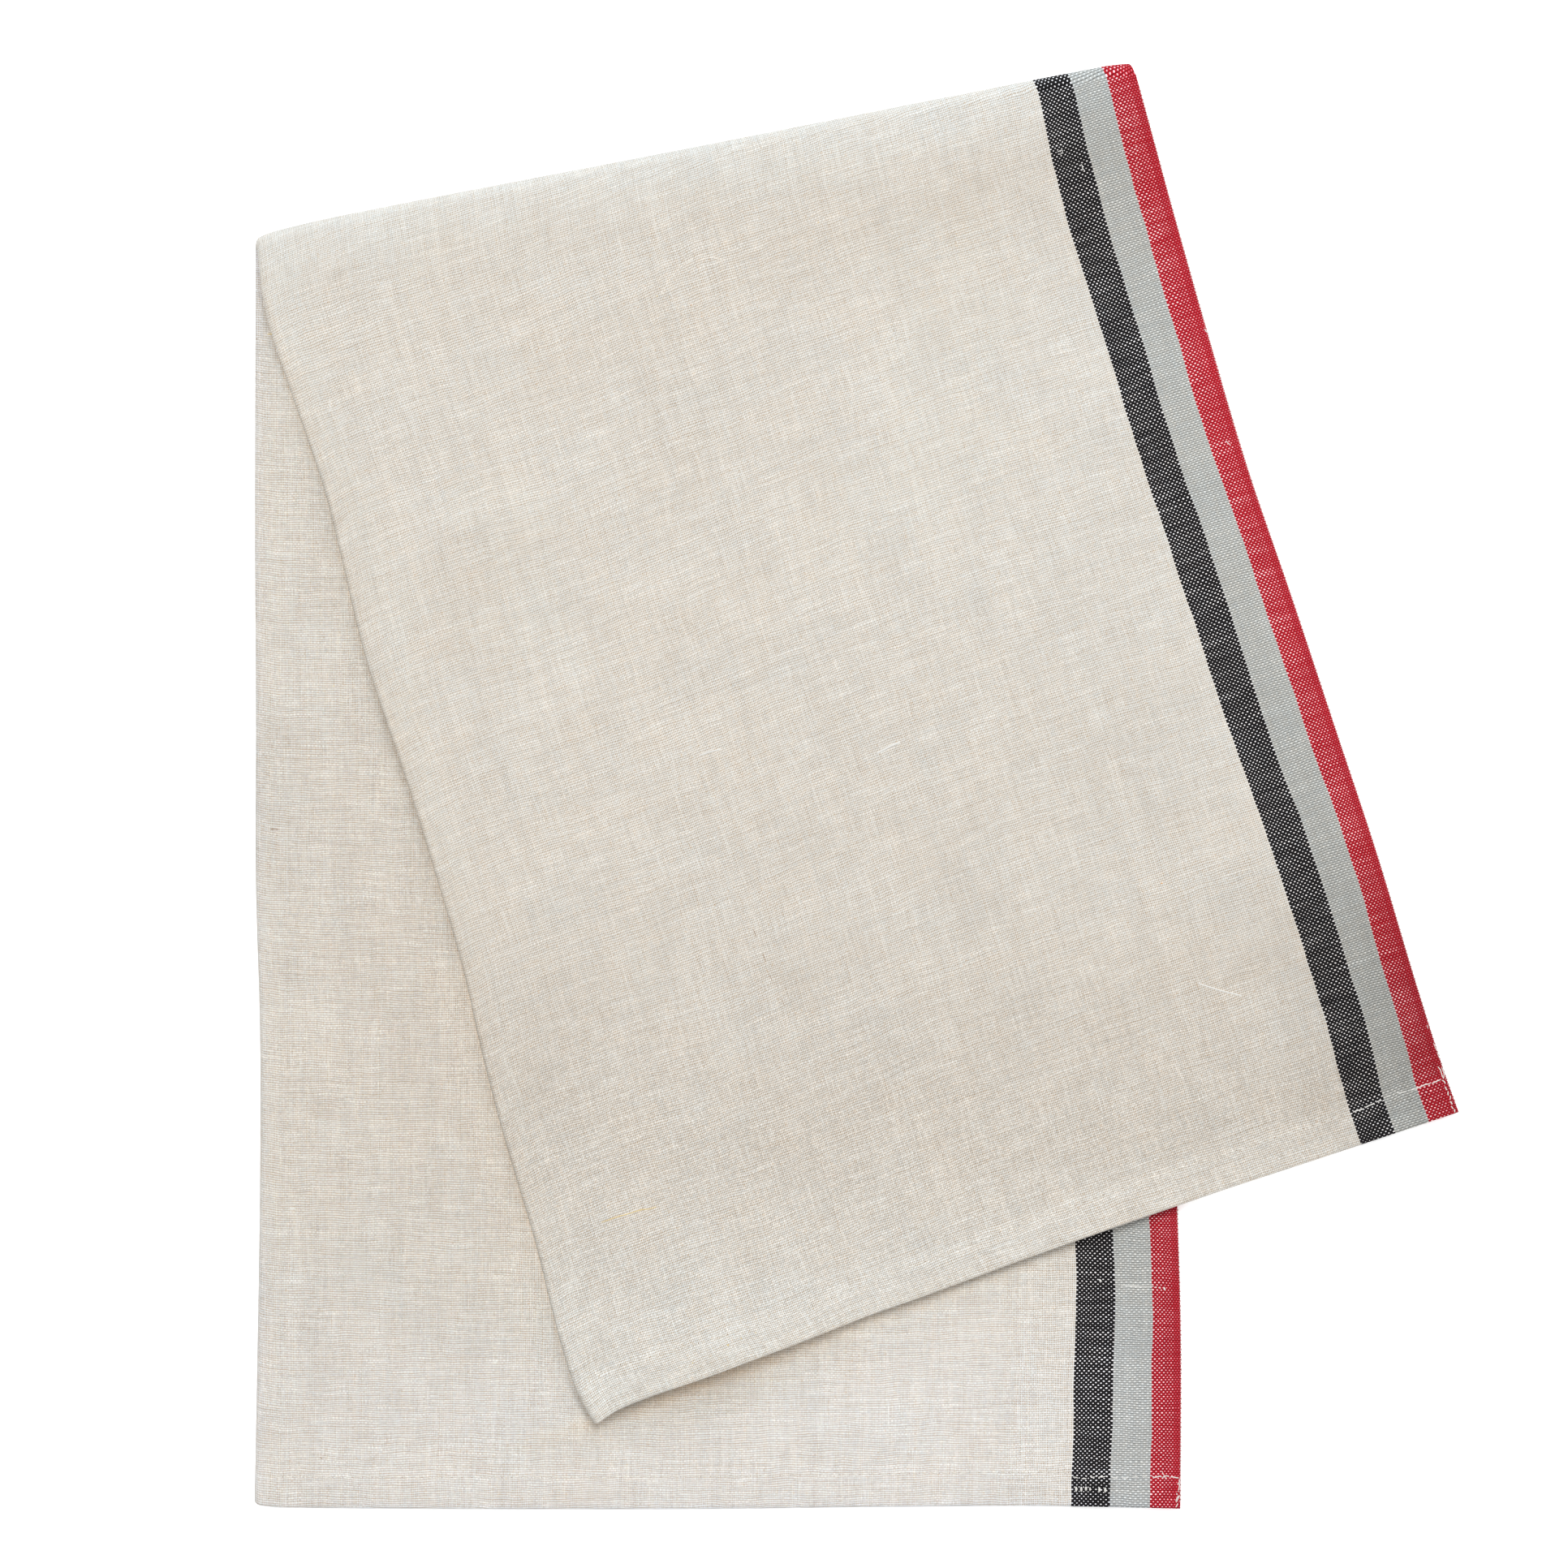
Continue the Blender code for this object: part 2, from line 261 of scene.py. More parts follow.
def turning_points(from_fold, height, turn):
    """Points on the cross fold, where the section has turned over by an angle."""
    across = from_fold / HALF_WIDTH
    radius = AXIS_HEIGHT - height
    share = turn / math.pi
    leaving = lean(LOWER, across) * radius * math.pi
    arriving = lean(FLAP, across) * radius * math.pi
    creep = (FOLD_CREEP * ease(share) - leaving * share * (1 - share) ** 2
             - arriving * share ** 2 * (1 - share))
    place = (on_part(LOWER, across, 0.0) + creep[..., None] * ALONG_FOLD
             + (radius * math.sin(turn))[..., None] * OVER_FOLD)
    return np.concatenate((place, (AXIS_HEIGHT - radius * math.cos(turn))[..., None]), -1)


def flap_points(from_fold, height, along, thickness):
    """Points of the flap, where the layers lie the other way up and the first covers the second."""
    stack = stack_height(from_fold, thickness)
    across = from_fold / HALF_WIDTH
    along = along * (1 - height / stack * HEM_STEP / FLAP_LENGTH)
    place = on_part(FLAP, across, along)
    settled = ease(along * FLAP_LENGTH / SETTLE)
    at_cross_fold = 2 * AXIS_HEIGHT - stack_height(from_fold, SHEET)
    resting = height_below(place) + swell(across, along)
    underside = at_cross_fold + (resting - at_cross_fold) * settled
    return np.concatenate((place, (underside + stack - height)[..., None]), -1)


Outline = namedtuple("Outline", "from_fold height width_at")


def columns(end):
    """Distances from the lengthwise fold at which a layer has points, up to its selvedge."""
    start = COLUMNS_AT_FOLD[-1]
    count = round((HALF_WIDTH - start) / COLUMN_WIDTH)
    rest = [start + (end - EDGE_ROUNDING - start) * i / count for i in range(1, count + 1)]
    return np.array(list(COLUMNS_AT_FOLD) + rest)


def outline(solid, cloth, inset, first_end, second_end):
    """The closed outline of the cloth's section, with each point's place in the cloth's width.

    solid is the thickness of the solid's layers, whose outer faces the cloth keeps, and cloth is
    its own. Its faces draw in by inset, where the section is near the edge of a hem.
    """
    radius = stack_height(0, solid) / 2
    slack = (math.pi / 2 - 1) * radius
    first, second = columns(first_end), columns(second_end)
    turns = np.linspace(0, math.pi, BEND_STEPS + 1)
    top = stack_height(second, solid)
    end_heights = cloth * np.array(SELVEDGE_POINTS)

    def width_at(arc, end):
        return HALF_WIDTH * (1 + arc / (end + slack))

    def bend(depth):
        reach = radius - depth
        return (radius - reach * np.sin(turns), radius - reach * np.cos(turns),
                width_at(radius * (turns - math.pi / 2), HALF_WIDTH))

    first_at = width_at(-(first + slack), first_end)
    second_at = width_at(second + slack, second_end)
    outer, inner = bend(inset), bend(cloth - inset)
    second_ends = np.full(2, second_end), stack_height(second_end, solid) - end_heights
    first_ends = np.full(2, first_end), end_heights[::-1]
    runs = [
        (first[::-1], np.full(len(first), inset), first_at[::-1]),
        outer,
        (second, top - inset, second_at),
        (*second_ends, np.full(2, CLOTH_WIDTH)),
        (second[::-1], (top - cloth + inset)[::-1], second_at[::-1]),
        tuple(run[::-1] for run in inner),
        (first, np.full(len(first), cloth - inset), first_at),
        (*first_ends, np.zeros(2)),
    ]
    return Outline(*(np.concatenate(column) for column in zip(*runs)))


# The cloth's own relief

Crease = namedtuple("Crease", "x y to_x to_y width rise")

# Soft troughs and ridges on the flap, from (x, y) to (to_x, to_y)
CREASES = table(
    Crease, (-93, -110, -32, -98, 2.6, -0.26), (-32, -98, 20, -86, 3, -0.24),
    (20, -85, 84, -85, 3.5, -0.16), (-28, -40, -20, -60, 2.4, -0.2), (-119, 43, -92, 56, 2.6, -0.32),
    (-112, 70, -86, 79, 4, 0.22), (-88, 84, -60, 95, 4, 0.18), (-62, -148, -52, -162, 2.6, 0.22),
    (39, 72, 60, 15, 5, 0.1), (-30, 25, -14, -8, 5, 0.09),
)
RIPPLES = ((34 * MM, 0.16 * MM), (15 * MM, 0.055 * MM))     # length and height
RIPPLE_SEEDS = (3.1, 9.7 + 3.1)
RIPPLE_CLEAR = 0.1 * MM       # the lower part's relief stays this far below the flap's underside
RELIEF_DEPTH = 0.60 * MM
SHOWN_FROM = 0.3              # the relief is on the upper layer, from this share of the stack's height
SHOWN_OVER = 0.4
STITCH_GROOVE = 0.07 * MM
GROOVE_WIDTH = 0.9 * MM
HEM_PRESSED = 0.40 * MM       # the hem lies flatter than the solid's
PUCKER = 0.05 * MM
PUCKER_LENGTH = 9.5 * MM
PUCKER_STRAYS = 1.3
PUCKER_VARIES = 23 * MM
PUCKER_REACH = 5 * MM
CALM = 14 * MM                # the relief fades over this distance from the cross fold

# How far in from a hem's edge its stitches run
StitchLine = namedtuple("StitchLine", "share depth")
STITCH_LINES = (
    table(StitchLine, (0, 9.2), (0.5, 9.1), (1, 9)),
    table(StitchLine, (0, 11.4), (0.05, 11.2), (0.1, 10), (0.2, 9.2), (0.6, 9.6), (1, 9.5)),
)


def stitch_depth(part, across):
    return curve(STITCH_LINES[part], "depth", across) * MM


def away_from_line(place, start, end):
    """Distance of each point from the line between two points, in plan."""
    start, end = np.array(start), np.array(end)
    run = end - start
    share = np.clip(((place - start) @ run) / (run @ run), 0, 1)
    return np.linalg.norm(place - start - share[..., None] * run, axis=-1)


def ripple(place, part):
    """Gentle unevenness of cloth that has been washed and pressed."""
    rise = np.zeros(place.shape[:-1])
    for length, height in RIPPLES:
        flat = (place / length).reshape(-1, 2)
        waves = [noise.noise((x, y, RIPPLE_SEEDS[part])) for x, y in flat]
        rise += height * np.array(waves).reshape(rise.shape)
    return rise


def relief(place, part, from_hem, from_fold):
    """How far a face that shows stands up from the solid's, in plan and by its hem's distance."""
    rise = ripple(place, part)
    for crease in CREASES if part == FLAP else ():
        start = np.array((crease.x, crease.y)) * MM
        end = np.array((crease.to_x, crease.to_y)) * MM
        off = away_from_line(place, start, end) / (crease.width * MM)
        rise = rise + crease.rise * MM * np.exp(-off ** 2)
    from_stitches = from_hem - stitch_depth(part, from_fold / HALF_WIDTH)
    groove = np.exp(-(from_stitches / GROOVE_WIDTH) ** 2)
    stray = PUCKER_STRAYS * np.sin(from_fold / PUCKER_VARIES)
    wave = np.sin(2 * math.pi * from_fold / PUCKER_LENGTH + stray)
    pulled = np.exp(-(from_stitches / PUCKER_REACH) ** 2)
    return rise - STITCH_GROOVE * groove + PUCKER * wave * pulled - HEM_PRESSED * hem_blend(from_hem)


# Where the cloth is lighter or darker, and warmer or cooler, than the rest: soft ovals in plan,
# turned by degrees, with the share by which they change the brightness and the warmth. They are
# partly the cloth's own tone and partly painted light and shade: painted shadow beside the flap's
# fold and under its hem, painted warm light in that shadow, and broad painted light and shade.
Patch = namedtuple("Patch", "x y reach_x reach_y turn tone warmth")
LOWER_TONE_AND_SHADE = table(
    Patch, (-124, -64, 20, 66, 16, -0.08, 0.026), (-122, 10, 14, 60, 15, -0.01, 0.016),
    (-128, -130, 26, 22, 0, -0.028, 0.006), (-157, -12, 15, 24, 0, -0.045, -0.006),
    (-155, -95, 18, 24, 0, -0.03, 0.01), (-161, 138, 9, 26, 0, 0.06, -0.036),
    (-85, -165, 60, 20, 8, 0.025, -0.026), (-145, -150, 40, 34, 0, 0, -0.04),
    (25, -174, 80, 34, 8, 0.115, -0.06), (-73.5, -166, 3.2, 14, 17, 0.1, 0),
    (-137, -100, 40, 110, 0, 0, 0.022), (-112, -186, 75, 22, 0, 0.04, -0.03),
    (-101, -90, 8, 60, 16, 0, 0.04), (-42, -169, 34, 5, 19.6, -0.11, 0.05),
    (-45, -164.8, 32, 2.2, 19.6, 0, 0.3), (8, -144.8, 50, 2, 19.6, 0.12, 0.13),
    (-121, -13, 165, 3.4, -73.9, -0.03, 0.01), (86, -165, 5, 60, 0, -0.15, 0),
)
FLAP_TONE_AND_SHADE = table(
    Patch, (22, -82, 165, 30, 19, -0.085, 0.022), (125, -80, 28, 24, 0, -0.05, 0.014),
    (158, -72, 24, 44, 17, -0.23, 0.01), (95, -98, 45, 14, 19, -0.055, 0.014),
    (108, -30, 38, 36, 17, -0.025, 0.004), (90, -52, 28, 12, 19, 0, 0.014),
    (-86, -68, 34, 30, 16, -0.06, 0.02), (-92, -40, 22, 60, 16, -0.008, 0.014),
    (-25, -50, 25, 14, 19, -0.025, 0.006), (80, -33, 30, 18, 19, 0.026, -0.006),
    (-50, -130, 30, 16, 15, 0.035, -0.034), (-80, -150, 12, 22, 16, 0.01, -0.03),
    (34, 88, 50, 46, 60, 0.042, -0.022), (-40, 62, 34, 18, 15, 0.022, 0), (-97, 90, 24, 40, 15, 0.02, 0),
    (-82, 36, 12, 11, 15, 0.035, -0.014), (12, 158, 62, 14, 11, -0.012, 0.02),
    (-105, 155, 36, 14, 11, 0.008, 0.012), (-55, 124, 46, 18, 12, -0.016, 0.012),
    (2, -14, 60, 20, 12, -0.022, 0.008), (-20, -143, 95, 13, 19, 0.01, -0.038),
    (-92, 79, 20, 6, 14, 0.03, -0.014), (-104, 60, 20, 11, 14, -0.044, 0.016),
    (76, 6, 16, 26, 17, -0.022, 0.004), (88, 118, 34, 10, 17, 0.035, -0.02),
    (60, 143, 14, 10, 17, -0.03, 0.006), (100, 40, 26, 120, 17, 0, -0.018), (82, 188, 20, 10, 11, -0.05, 0),
    (-105.8, 49.2, 15, 2.4, 25, -0.03, 0.01), (-51.5, -104.4, 44, 2.4, 7, -0.026, 0.006),
    (24, 163, 45, 13, 11, -0.032, 0.008), (-95, -84, 30, 28, 16, -0.034, 0),
    (67, -98, 30, 13, 19, -0.042, 0.01), (104, -86, 26, 12, 19, -0.03, 0), (162, -68, 8, 34, 17, -0.06, 0),
    (-50, 20, 62, 62, 16, 0, 0.012), (-158, 132, 8, 20, 10, 0.05, -0.04),
    (-142, 129, 12, 9, 11, 0.045, -0.004), (60, 130, 10, 11, 17, 0.02, -0.04),
    (76, 4, 9, 14, 17, 0, -0.024), (28, -34, 28, 13, 12, -0.032, 0), (-19, -58, 9, 15, 14, -0.03, 0),
    (104, -32, 9, 26, 17, -0.03, 0), (-3.5, 114, 8, 8, 0, 0.032, 0), (-3.5, 67, 8, 8, 0, 0.032, 0),
    (-128, 98, 12, 8, 12, 0.03, 0), (-66, -106, 24, 12, 14, 0.03, -0.01),
    (-108, 76.5, 20, 3, 17, 0.026, -0.006), (-75, 90, 12, 2.8, 17, 0.026, -0.006),
    (-88, 64, 5, 3.5, 0, -0.03, 0), (24, 78, 4, 14, 8, 0.024, 0), (-47, 26, 5, 9, -25, -0.022, 0),
    (-28, -63, 40, 2.2, 14, -0.022, 0.004), (132, -90, 16, 14, 17, -0.045, 0.006),
    (14, 176, 30, 9, 11, 0.03, -0.006), (-62, -148, 7, 3.5, 30, 0.035, -0.01),
    (-72, -158, 4, 9, 14, -0.03, 0), (98, 87, 15, 75, 17, 0.075, 0), (-71.5, -165, 3.2, 14, 17, 0.08, 0),
    (40, -95, 110, 60, 17, 0, 0.012),
)
FOLD_PAINTED_HIGHLIGHT = 0.085            # painted highlight: the cloth turns light and cool over the cross fold
FOLD_HIGHLIGHT_COOL = -0.070
FOLD_REACH = 9.5 * MM
# Painted cool glare where the cloth turns over at the cross fold
TURNED_GLARE_COOL = -0.050
TURNED_REACH = 3 * MM
TURNED_FROM = 0.2
EDGE_GLARE_COOL = -0.060            # and painted cool glare along the lower part's edges, beside the bright floor
EDGE_REACH = 2 * MM
SIDE_SHADE = -0.035            # and painted shade, dark and warm, along the flap's lengthwise fold
SIDE_SHADE_WARM = 0.04
SIDE_REACH = 3.6 * MM
SIDE_FADES = 70 * MM          # which fades over this distance from its hem
HEM_LIGHT = (0.015, 0.030)    # the hems, of more layers, show lighter up to their inner edge
HEM_COOL = -0.015
RIM_PAINTED_GLOW = 0.05               # painted warm light: the flap's hem glows warm on its rim, over the shadow
RIM_REACH = 0.7 * MM
INNER_EDGE = 2.0 * MM
INNER_EDGE_SOFT = 0.8 * MM
LOOSE_LOWER = 0.55            # the weave looks looser in the lower part, and towards the flap's hem
LOOSE_FLAP = (0.25, 0.60)
LOOSE_FROM = -30 * MM
LOOSE_RUN = 80 * MM
PINK = (0.25, 0.0)            # where the lower part is cool it is also pink


def tones(part, points, from_edge, from_hem, from_stitches):
    """How much lighter, warmer, more loosely woven and pinker the cloth is at each point. The lighter and
    the warmer hold painted light and shade as well as the cloth's own tone.
    """
    place = points[..., :2]
    tone = np.zeros(place.shape[:-1])
    warmth = np.zeros(place.shape[:-1])
    for patch in (LOWER_TONE_AND_SHADE, FLAP_TONE_AND_SHADE)[part]:
        off = (place - np.array((patch.x, patch.y)) * MM) / MM
        turn = math.radians(patch.turn)
        across = (off[..., 0] * math.cos(turn) + off[..., 1] * math.sin(turn)) / patch.reach_x
        along = (off[..., 1] * math.cos(turn) - off[..., 0] * math.sin(turn)) / patch.reach_y
        near = np.exp(-across ** 2 - along ** 2)
        tone += patch.tone * near
        warmth += patch.warmth * near
    from_cross_fold = (on_part(FLAP, 0.5, 0.0) - place) @ OVER_FOLD
    at_fold = np.exp(-np.maximum(from_cross_fold / FOLD_REACH, 0) ** 2)
    turned = ease(TURNED_FROM - from_cross_fold / TURNED_REACH)
    at_edge = np.exp(-(from_edge / EDGE_REACH) ** 2)
    in_hem = 1 - ease((from_stitches - INNER_EDGE) / INNER_EDGE_SOFT + 0.5)
    # Painted shade along the flap's fold, and painted warm light on its hem's rim
    if part == FLAP:
        side_shade_share = np.exp(-(from_edge / SIDE_REACH) ** 2) * ease(from_stitches / SIDE_FADES)
        at_edge = 0
        tone += SIDE_SHADE * side_shade_share
        warmth += SIDE_SHADE_WARM * side_shade_share + RIM_PAINTED_GLOW * np.exp(-(from_hem / RIM_REACH) ** 2)
    # Painted highlight over the cross fold, painted cool glare where the cloth turns and along the lower
    # part's edges, and the hems' own lighter, cooler tone
    tone += FOLD_PAINTED_HIGHLIGHT * at_fold + HEM_LIGHT[part] * in_hem
    warmth += FOLD_HIGHLIGHT_COOL * at_fold + TURNED_GLARE_COOL * turned + EDGE_GLARE_COOL * at_edge + HEM_COOL * in_hem
    loose = np.full(tone.shape, LOOSE_LOWER)
    if part == FLAP:
        towards_hem = ease((LOOSE_FROM - place[..., 1]) / LOOSE_RUN)
        loose = LOOSE_FLAP[0] + (LOOSE_FLAP[1] - LOOSE_FLAP[0]) * towards_hem
    pink = np.maximum(-warmth, 0) * PINK[part]
    return np.stack((tone, warmth, loose, pink), -1)


# The warp stripes. Each zone, from the selvedge in, has a number of ends and a pitch, its yarn's
# colour, and the dots of weft that show on it: half of their width and length, as shares of a
# crossing, and their colour, which the yarn beside them tints. Lengths are millimetres.
Zone = namedtuple("Zone", "ends pitch colour dot_width dot_length dot_colour")
RED = (0.290, 0.0074, 0.0143, 1.0)
GREY = (0.282, 0.282, 0.265, 1.0)
BLACK = (0.009, 0.008, 0.0085, 1.0)
ZONES = table(
    Zone,
    (5, 0.40, RED, 0.46, 0.34, (0.46, 0.11, 0.13, 1.0)),
    (5, 0.47, RED, 0.45, 0.33, (0.69, 0.31, 0.33, 1.0)),
    (6, 0.60, RED, 0.44, 0.33, (0.75, 0.43, 0.44, 1.0)),
    (15, 0.70, GREY, 0.50, 0.36, (0.465, 0.465, 0.44, 1.0)),
    (8, 0.69, BLACK, 0.40, 0.30, (0.58, 0.56, 0.55, 1.0)),
    (8, 0.60, BLACK, 0.40, 0.30, (0.58, 0.56, 0.55, 1.0)),
)
# Where the stripes' inner edges lie from the selvedge, as the threads have shifted, by the share
# of a part's length
StripeLine = namedtuple("StripeLine", "share red grey black")
LOWER_STRIPES = table(
    StripeLine, (0, 8.1, 17.7, 27.6), (0.4, 7.9, 18.2, 28.4), (0.8, 7.7, 17.6, 28.1),
    (0.86, 7.6, 17.5, 28.2), (0.9, 8, 18.3, 28.8), (0.94, 7.8, 18.3, 29), (1, 8.3, 19, 29.4),
)
FLAP_STRIPES = table(
    StripeLine, (0, 8.2, 17.7, 27.6), (0.1, 8.9, 18.6, 28.8), (0.17, 8.7, 18.6, 28.8),
    (0.24, 8.8, 18.1, 28), (0.31, 8.9, 18, 27.9), (0.37, 8.3, 17.7, 27.8), (0.43, 8, 17.2, 27.6),
    (0.5, 8, 17.5, 28), (0.6, 8, 17.9, 28.2), (0.65, 7.8, 17.7, 27.5), (0.7, 7.3, 16.8, 26.9),
    (0.77, 7.3, 16.6, 26.7), (0.84, 7.7, 16.2, 26.3), (0.9, 7.6, 16.2, 26.7), (0.97, 8.6, 17.8, 27.5),
    (1, 8.8, 18.2, 27.8),
)
STRIPE_EASE = 40              # the plain cloth takes up the shift over this distance


def woven_at(stripes, along, width_at):
    """Where in the loom's width the threads at a place in the cloth's width were woven."""
    inward = HALF_WIDTH - np.abs(width_at - HALF_WIDTH)
    lies = [0.0] + [float(curve(stripes, name, along)) for name in ("red", "grey", "black")]
    woven = [0.0] + [sum(zone.ends * zone.pitch for zone in ZONES[:count]) for count in (3, 4, 6)]
    plain = [lies[-1] + STRIPE_EASE, HALF_WIDTH / MM]
    moved = np.interp(inward / MM, lies + plain, woven + plain) * MM
    return HALF_WIDTH + np.sign(width_at - HALF_WIDTH) * (HALF_WIDTH - moved)


def shares(length):
    """Shares of a part's length at which it has sections, from the cross fold to the hem."""
    plain = length - ROWS_AT_HEM[-1]
    count = round(plain / ROW_LENGTH)
    rows = [plain * i / count for i in range(count)] + [length - row for row in reversed(ROWS_AT_HEM)]
    return [row / length for row in rows]


Rows = namedtuple("Rows", "points place tones")


def strayed(points, from_fold, along):
    """The flap's points, moved in plan as its folded edge and its hem stray from straight."""
    fold_line = edge_point(FLAP_SECTIONS, "fold", 1.0) - edge_point(FLAP_SECTIONS, "fold", 0.0)
    down = fold_line / np.linalg.norm(fold_line)
    out = np.array((down[1], -down[0]))
    across = from_fold / HALF_WIDTH
    near_fold = np.exp(-(from_fold / STRAY_REACH) ** 2)
    near_hem = np.exp(-((1 - along) * FLAP_LENGTH / STRAY_REACH) ** 2)
    fold_shift = curve(FLAP_FOLD_STRAY, "out", along) * MM * near_fold
    hem_shift = curve(FLAP_HEM_STRAY, "out", across) * MM * near_hem
    hem_rise = curve(FLAP_HEM_STRAY, "up", across) * MM * near_hem
    points[..., :2] += fold_shift[..., None] * out + hem_shift[..., None] * down
    points[..., 2] += hem_rise
    return points


def part_points(part, from_fold, height, along):
    """Points of the lower part or the flap, with the relief of the layer that shows."""
    length = LENGTHS[part]
    from_hem = (1 - along) * length
    thickness = SHEET + (HEM - SHEET) * hem_blend(from_hem)
    points = (lower_points, flap_points)[part](from_fold, height, along, thickness)
    upper = height / stack_height(from_fold, thickness)
    if part == FLAP:
        upper = 1 - upper
        points = strayed(points, from_fold, along)
    shown = ease((upper - SHOWN_FROM) / SHOWN_OVER) * ease(along * length / CALM)
    rise = relief(points[..., :2], part, from_hem, from_fold)
    if part == LOWER:
        rise = np.minimum(rise, LAYER_GAP - RIPPLE_CLEAR)
    points[..., 2] += np.maximum(rise, -RELIEF_DEPTH) * shown
    return points


def part_row(part, along):
    """One section of a part: its points and their places in the cloth, across and along."""
    length = LENGTHS[part]
    from_hem = (1 - along) * length
    in_hem = hem_blend(from_hem)
    solid = SHEET + (HEM - SHEET) * in_hem
    cloth = CLOTH + (CLOTH_HEM - CLOTH) * in_hem
    inset = HEM_TAPER * cloth * (1 - ease(from_hem / (2 * EDGE_ROUNDING)))
    ends = (HALF_WIDTH - SELVEDGE_STEP, HALF_WIDTH)
    if part == FLAP:
        ends = ends[::-1]
    run = outline(solid, cloth, inset, *ends)
    points = part_points(part, run.from_fold, run.height, np.full(run.height.shape, along))
    threads = thread_length(part, run.from_fold / HALF_WIDTH) * (1 - along)
    length_at = threads if part == LOWER else CLOTH_LENGTH - threads
    from_edge = np.minimum(run.from_fold, from_hem) if part == LOWER else run.from_fold
    from_stitches = from_hem - stitch_depth(part, run.from_fold / HALF_WIDTH)
    shades = tones(part, points, from_edge, from_hem, from_stitches)
    width_at = woven_at((LOWER_STRIPES, FLAP_STRIPES)[part], along, run.width_at)
    return Rows(points, np.stack((width_at, length_at), -1), shades)


def turning_row(share):
    """One section on the cross fold, by the share of its half turn."""
    step = SELVEDGE_STEP * ease(share)
    run = outline(SHEET, CLOTH, 0.0, HALF_WIDTH - SELVEDGE_STEP + step, HALF_WIDTH - step)
    points = turning_points(run.from_fold, run.height, share * math.pi)
    across = run.from_fold / HALF_WIDTH
    start = thread_length(LOWER, across)
    end = CLOTH_LENGTH - thread_length(FLAP, across)
    width_at = woven_at(FLAP_STRIPES, 0.0, run.width_at)
    place = np.stack((width_at, start + (end - start) * share), -1)
    away = np.full(len(points), FLAP_LENGTH)
    return Rows(points, place, tones(FLAP, points, run.from_fold, away, away))


def make_towel():
    """The whole cloth as one closed mesh, with its own places kept as a UV map in metres."""
    rows = [part_row(LOWER, along) for along in reversed(shares(LOWER_LENGTH))]
    rows += [turning_row(i / CROSS_FOLD_STEPS) for i in range(1, CROSS_FOLD_STEPS)]
    rows += [part_row(FLAP, along) for along in shares(FLAP_LENGTH)]
    points = np.array([row.points for row in rows])
    places = np.array([row.place for row in rows])
    count, around = points.shape[:2]
    ring = np.arange(around)
    beside = (ring + 1) % around
    start = (np.arange(count - 1) * around)[:, None]
    quads = np.stack((start + ring, start + beside, start + around + beside, start + around + ring), -1)
    ends = [ring[::-1].tolist(), (ring + (count - 1) * around).tolist()]
    mesh = bpy.data.meshes.new("tea_towel")
    mesh.from_pydata(points.reshape(-1, 3).tolist(), [], quads.reshape(-1, 4).tolist() + ends)
    corners = np.empty(len(mesh.loops), int)
    mesh.loops.foreach_get("vertex_index", corners)
    layer = mesh.uv_layers.new(name="cloth")
    layer.data.foreach_set("uv", places.reshape(-1, 2)[corners].ravel().astype(np.float32))
    shades = np.concatenate([row.tones for row in rows])
    for i, name in enumerate(("tone", "warmth", "loose", "pink")):
        attribute = mesh.attributes.new(name, "FLOAT", "POINT")
        attribute.data.foreach_set("value", shades[:, i].astype(np.float32))
    mesh.shade_smooth()
    return add_object("tea_towel", mesh)


# Sewing, and the small things that lie on the cloth

# Colours of the yarns and of the marks, one piece for each; the needle holes and the dashes along a crease
# are painted shade
YARNS = {
    "sewing": (0.560, 0.550, 0.520),
    "hem_sewing": (0.465, 0.447, 0.405),
    "linen_slub": (0.560, 0.552, 0.525),
    "needle_hole_shade": (0.150, 0.090, 0.050),
    "straw": (0.560, 0.440, 0.210),
    "bark_and_crease_shade": (0.200, 0.120, 0.065),
    "rust": (0.520, 0.270, 0.100),
    "weft_edge": (0.520, 0.430, 0.420),
}
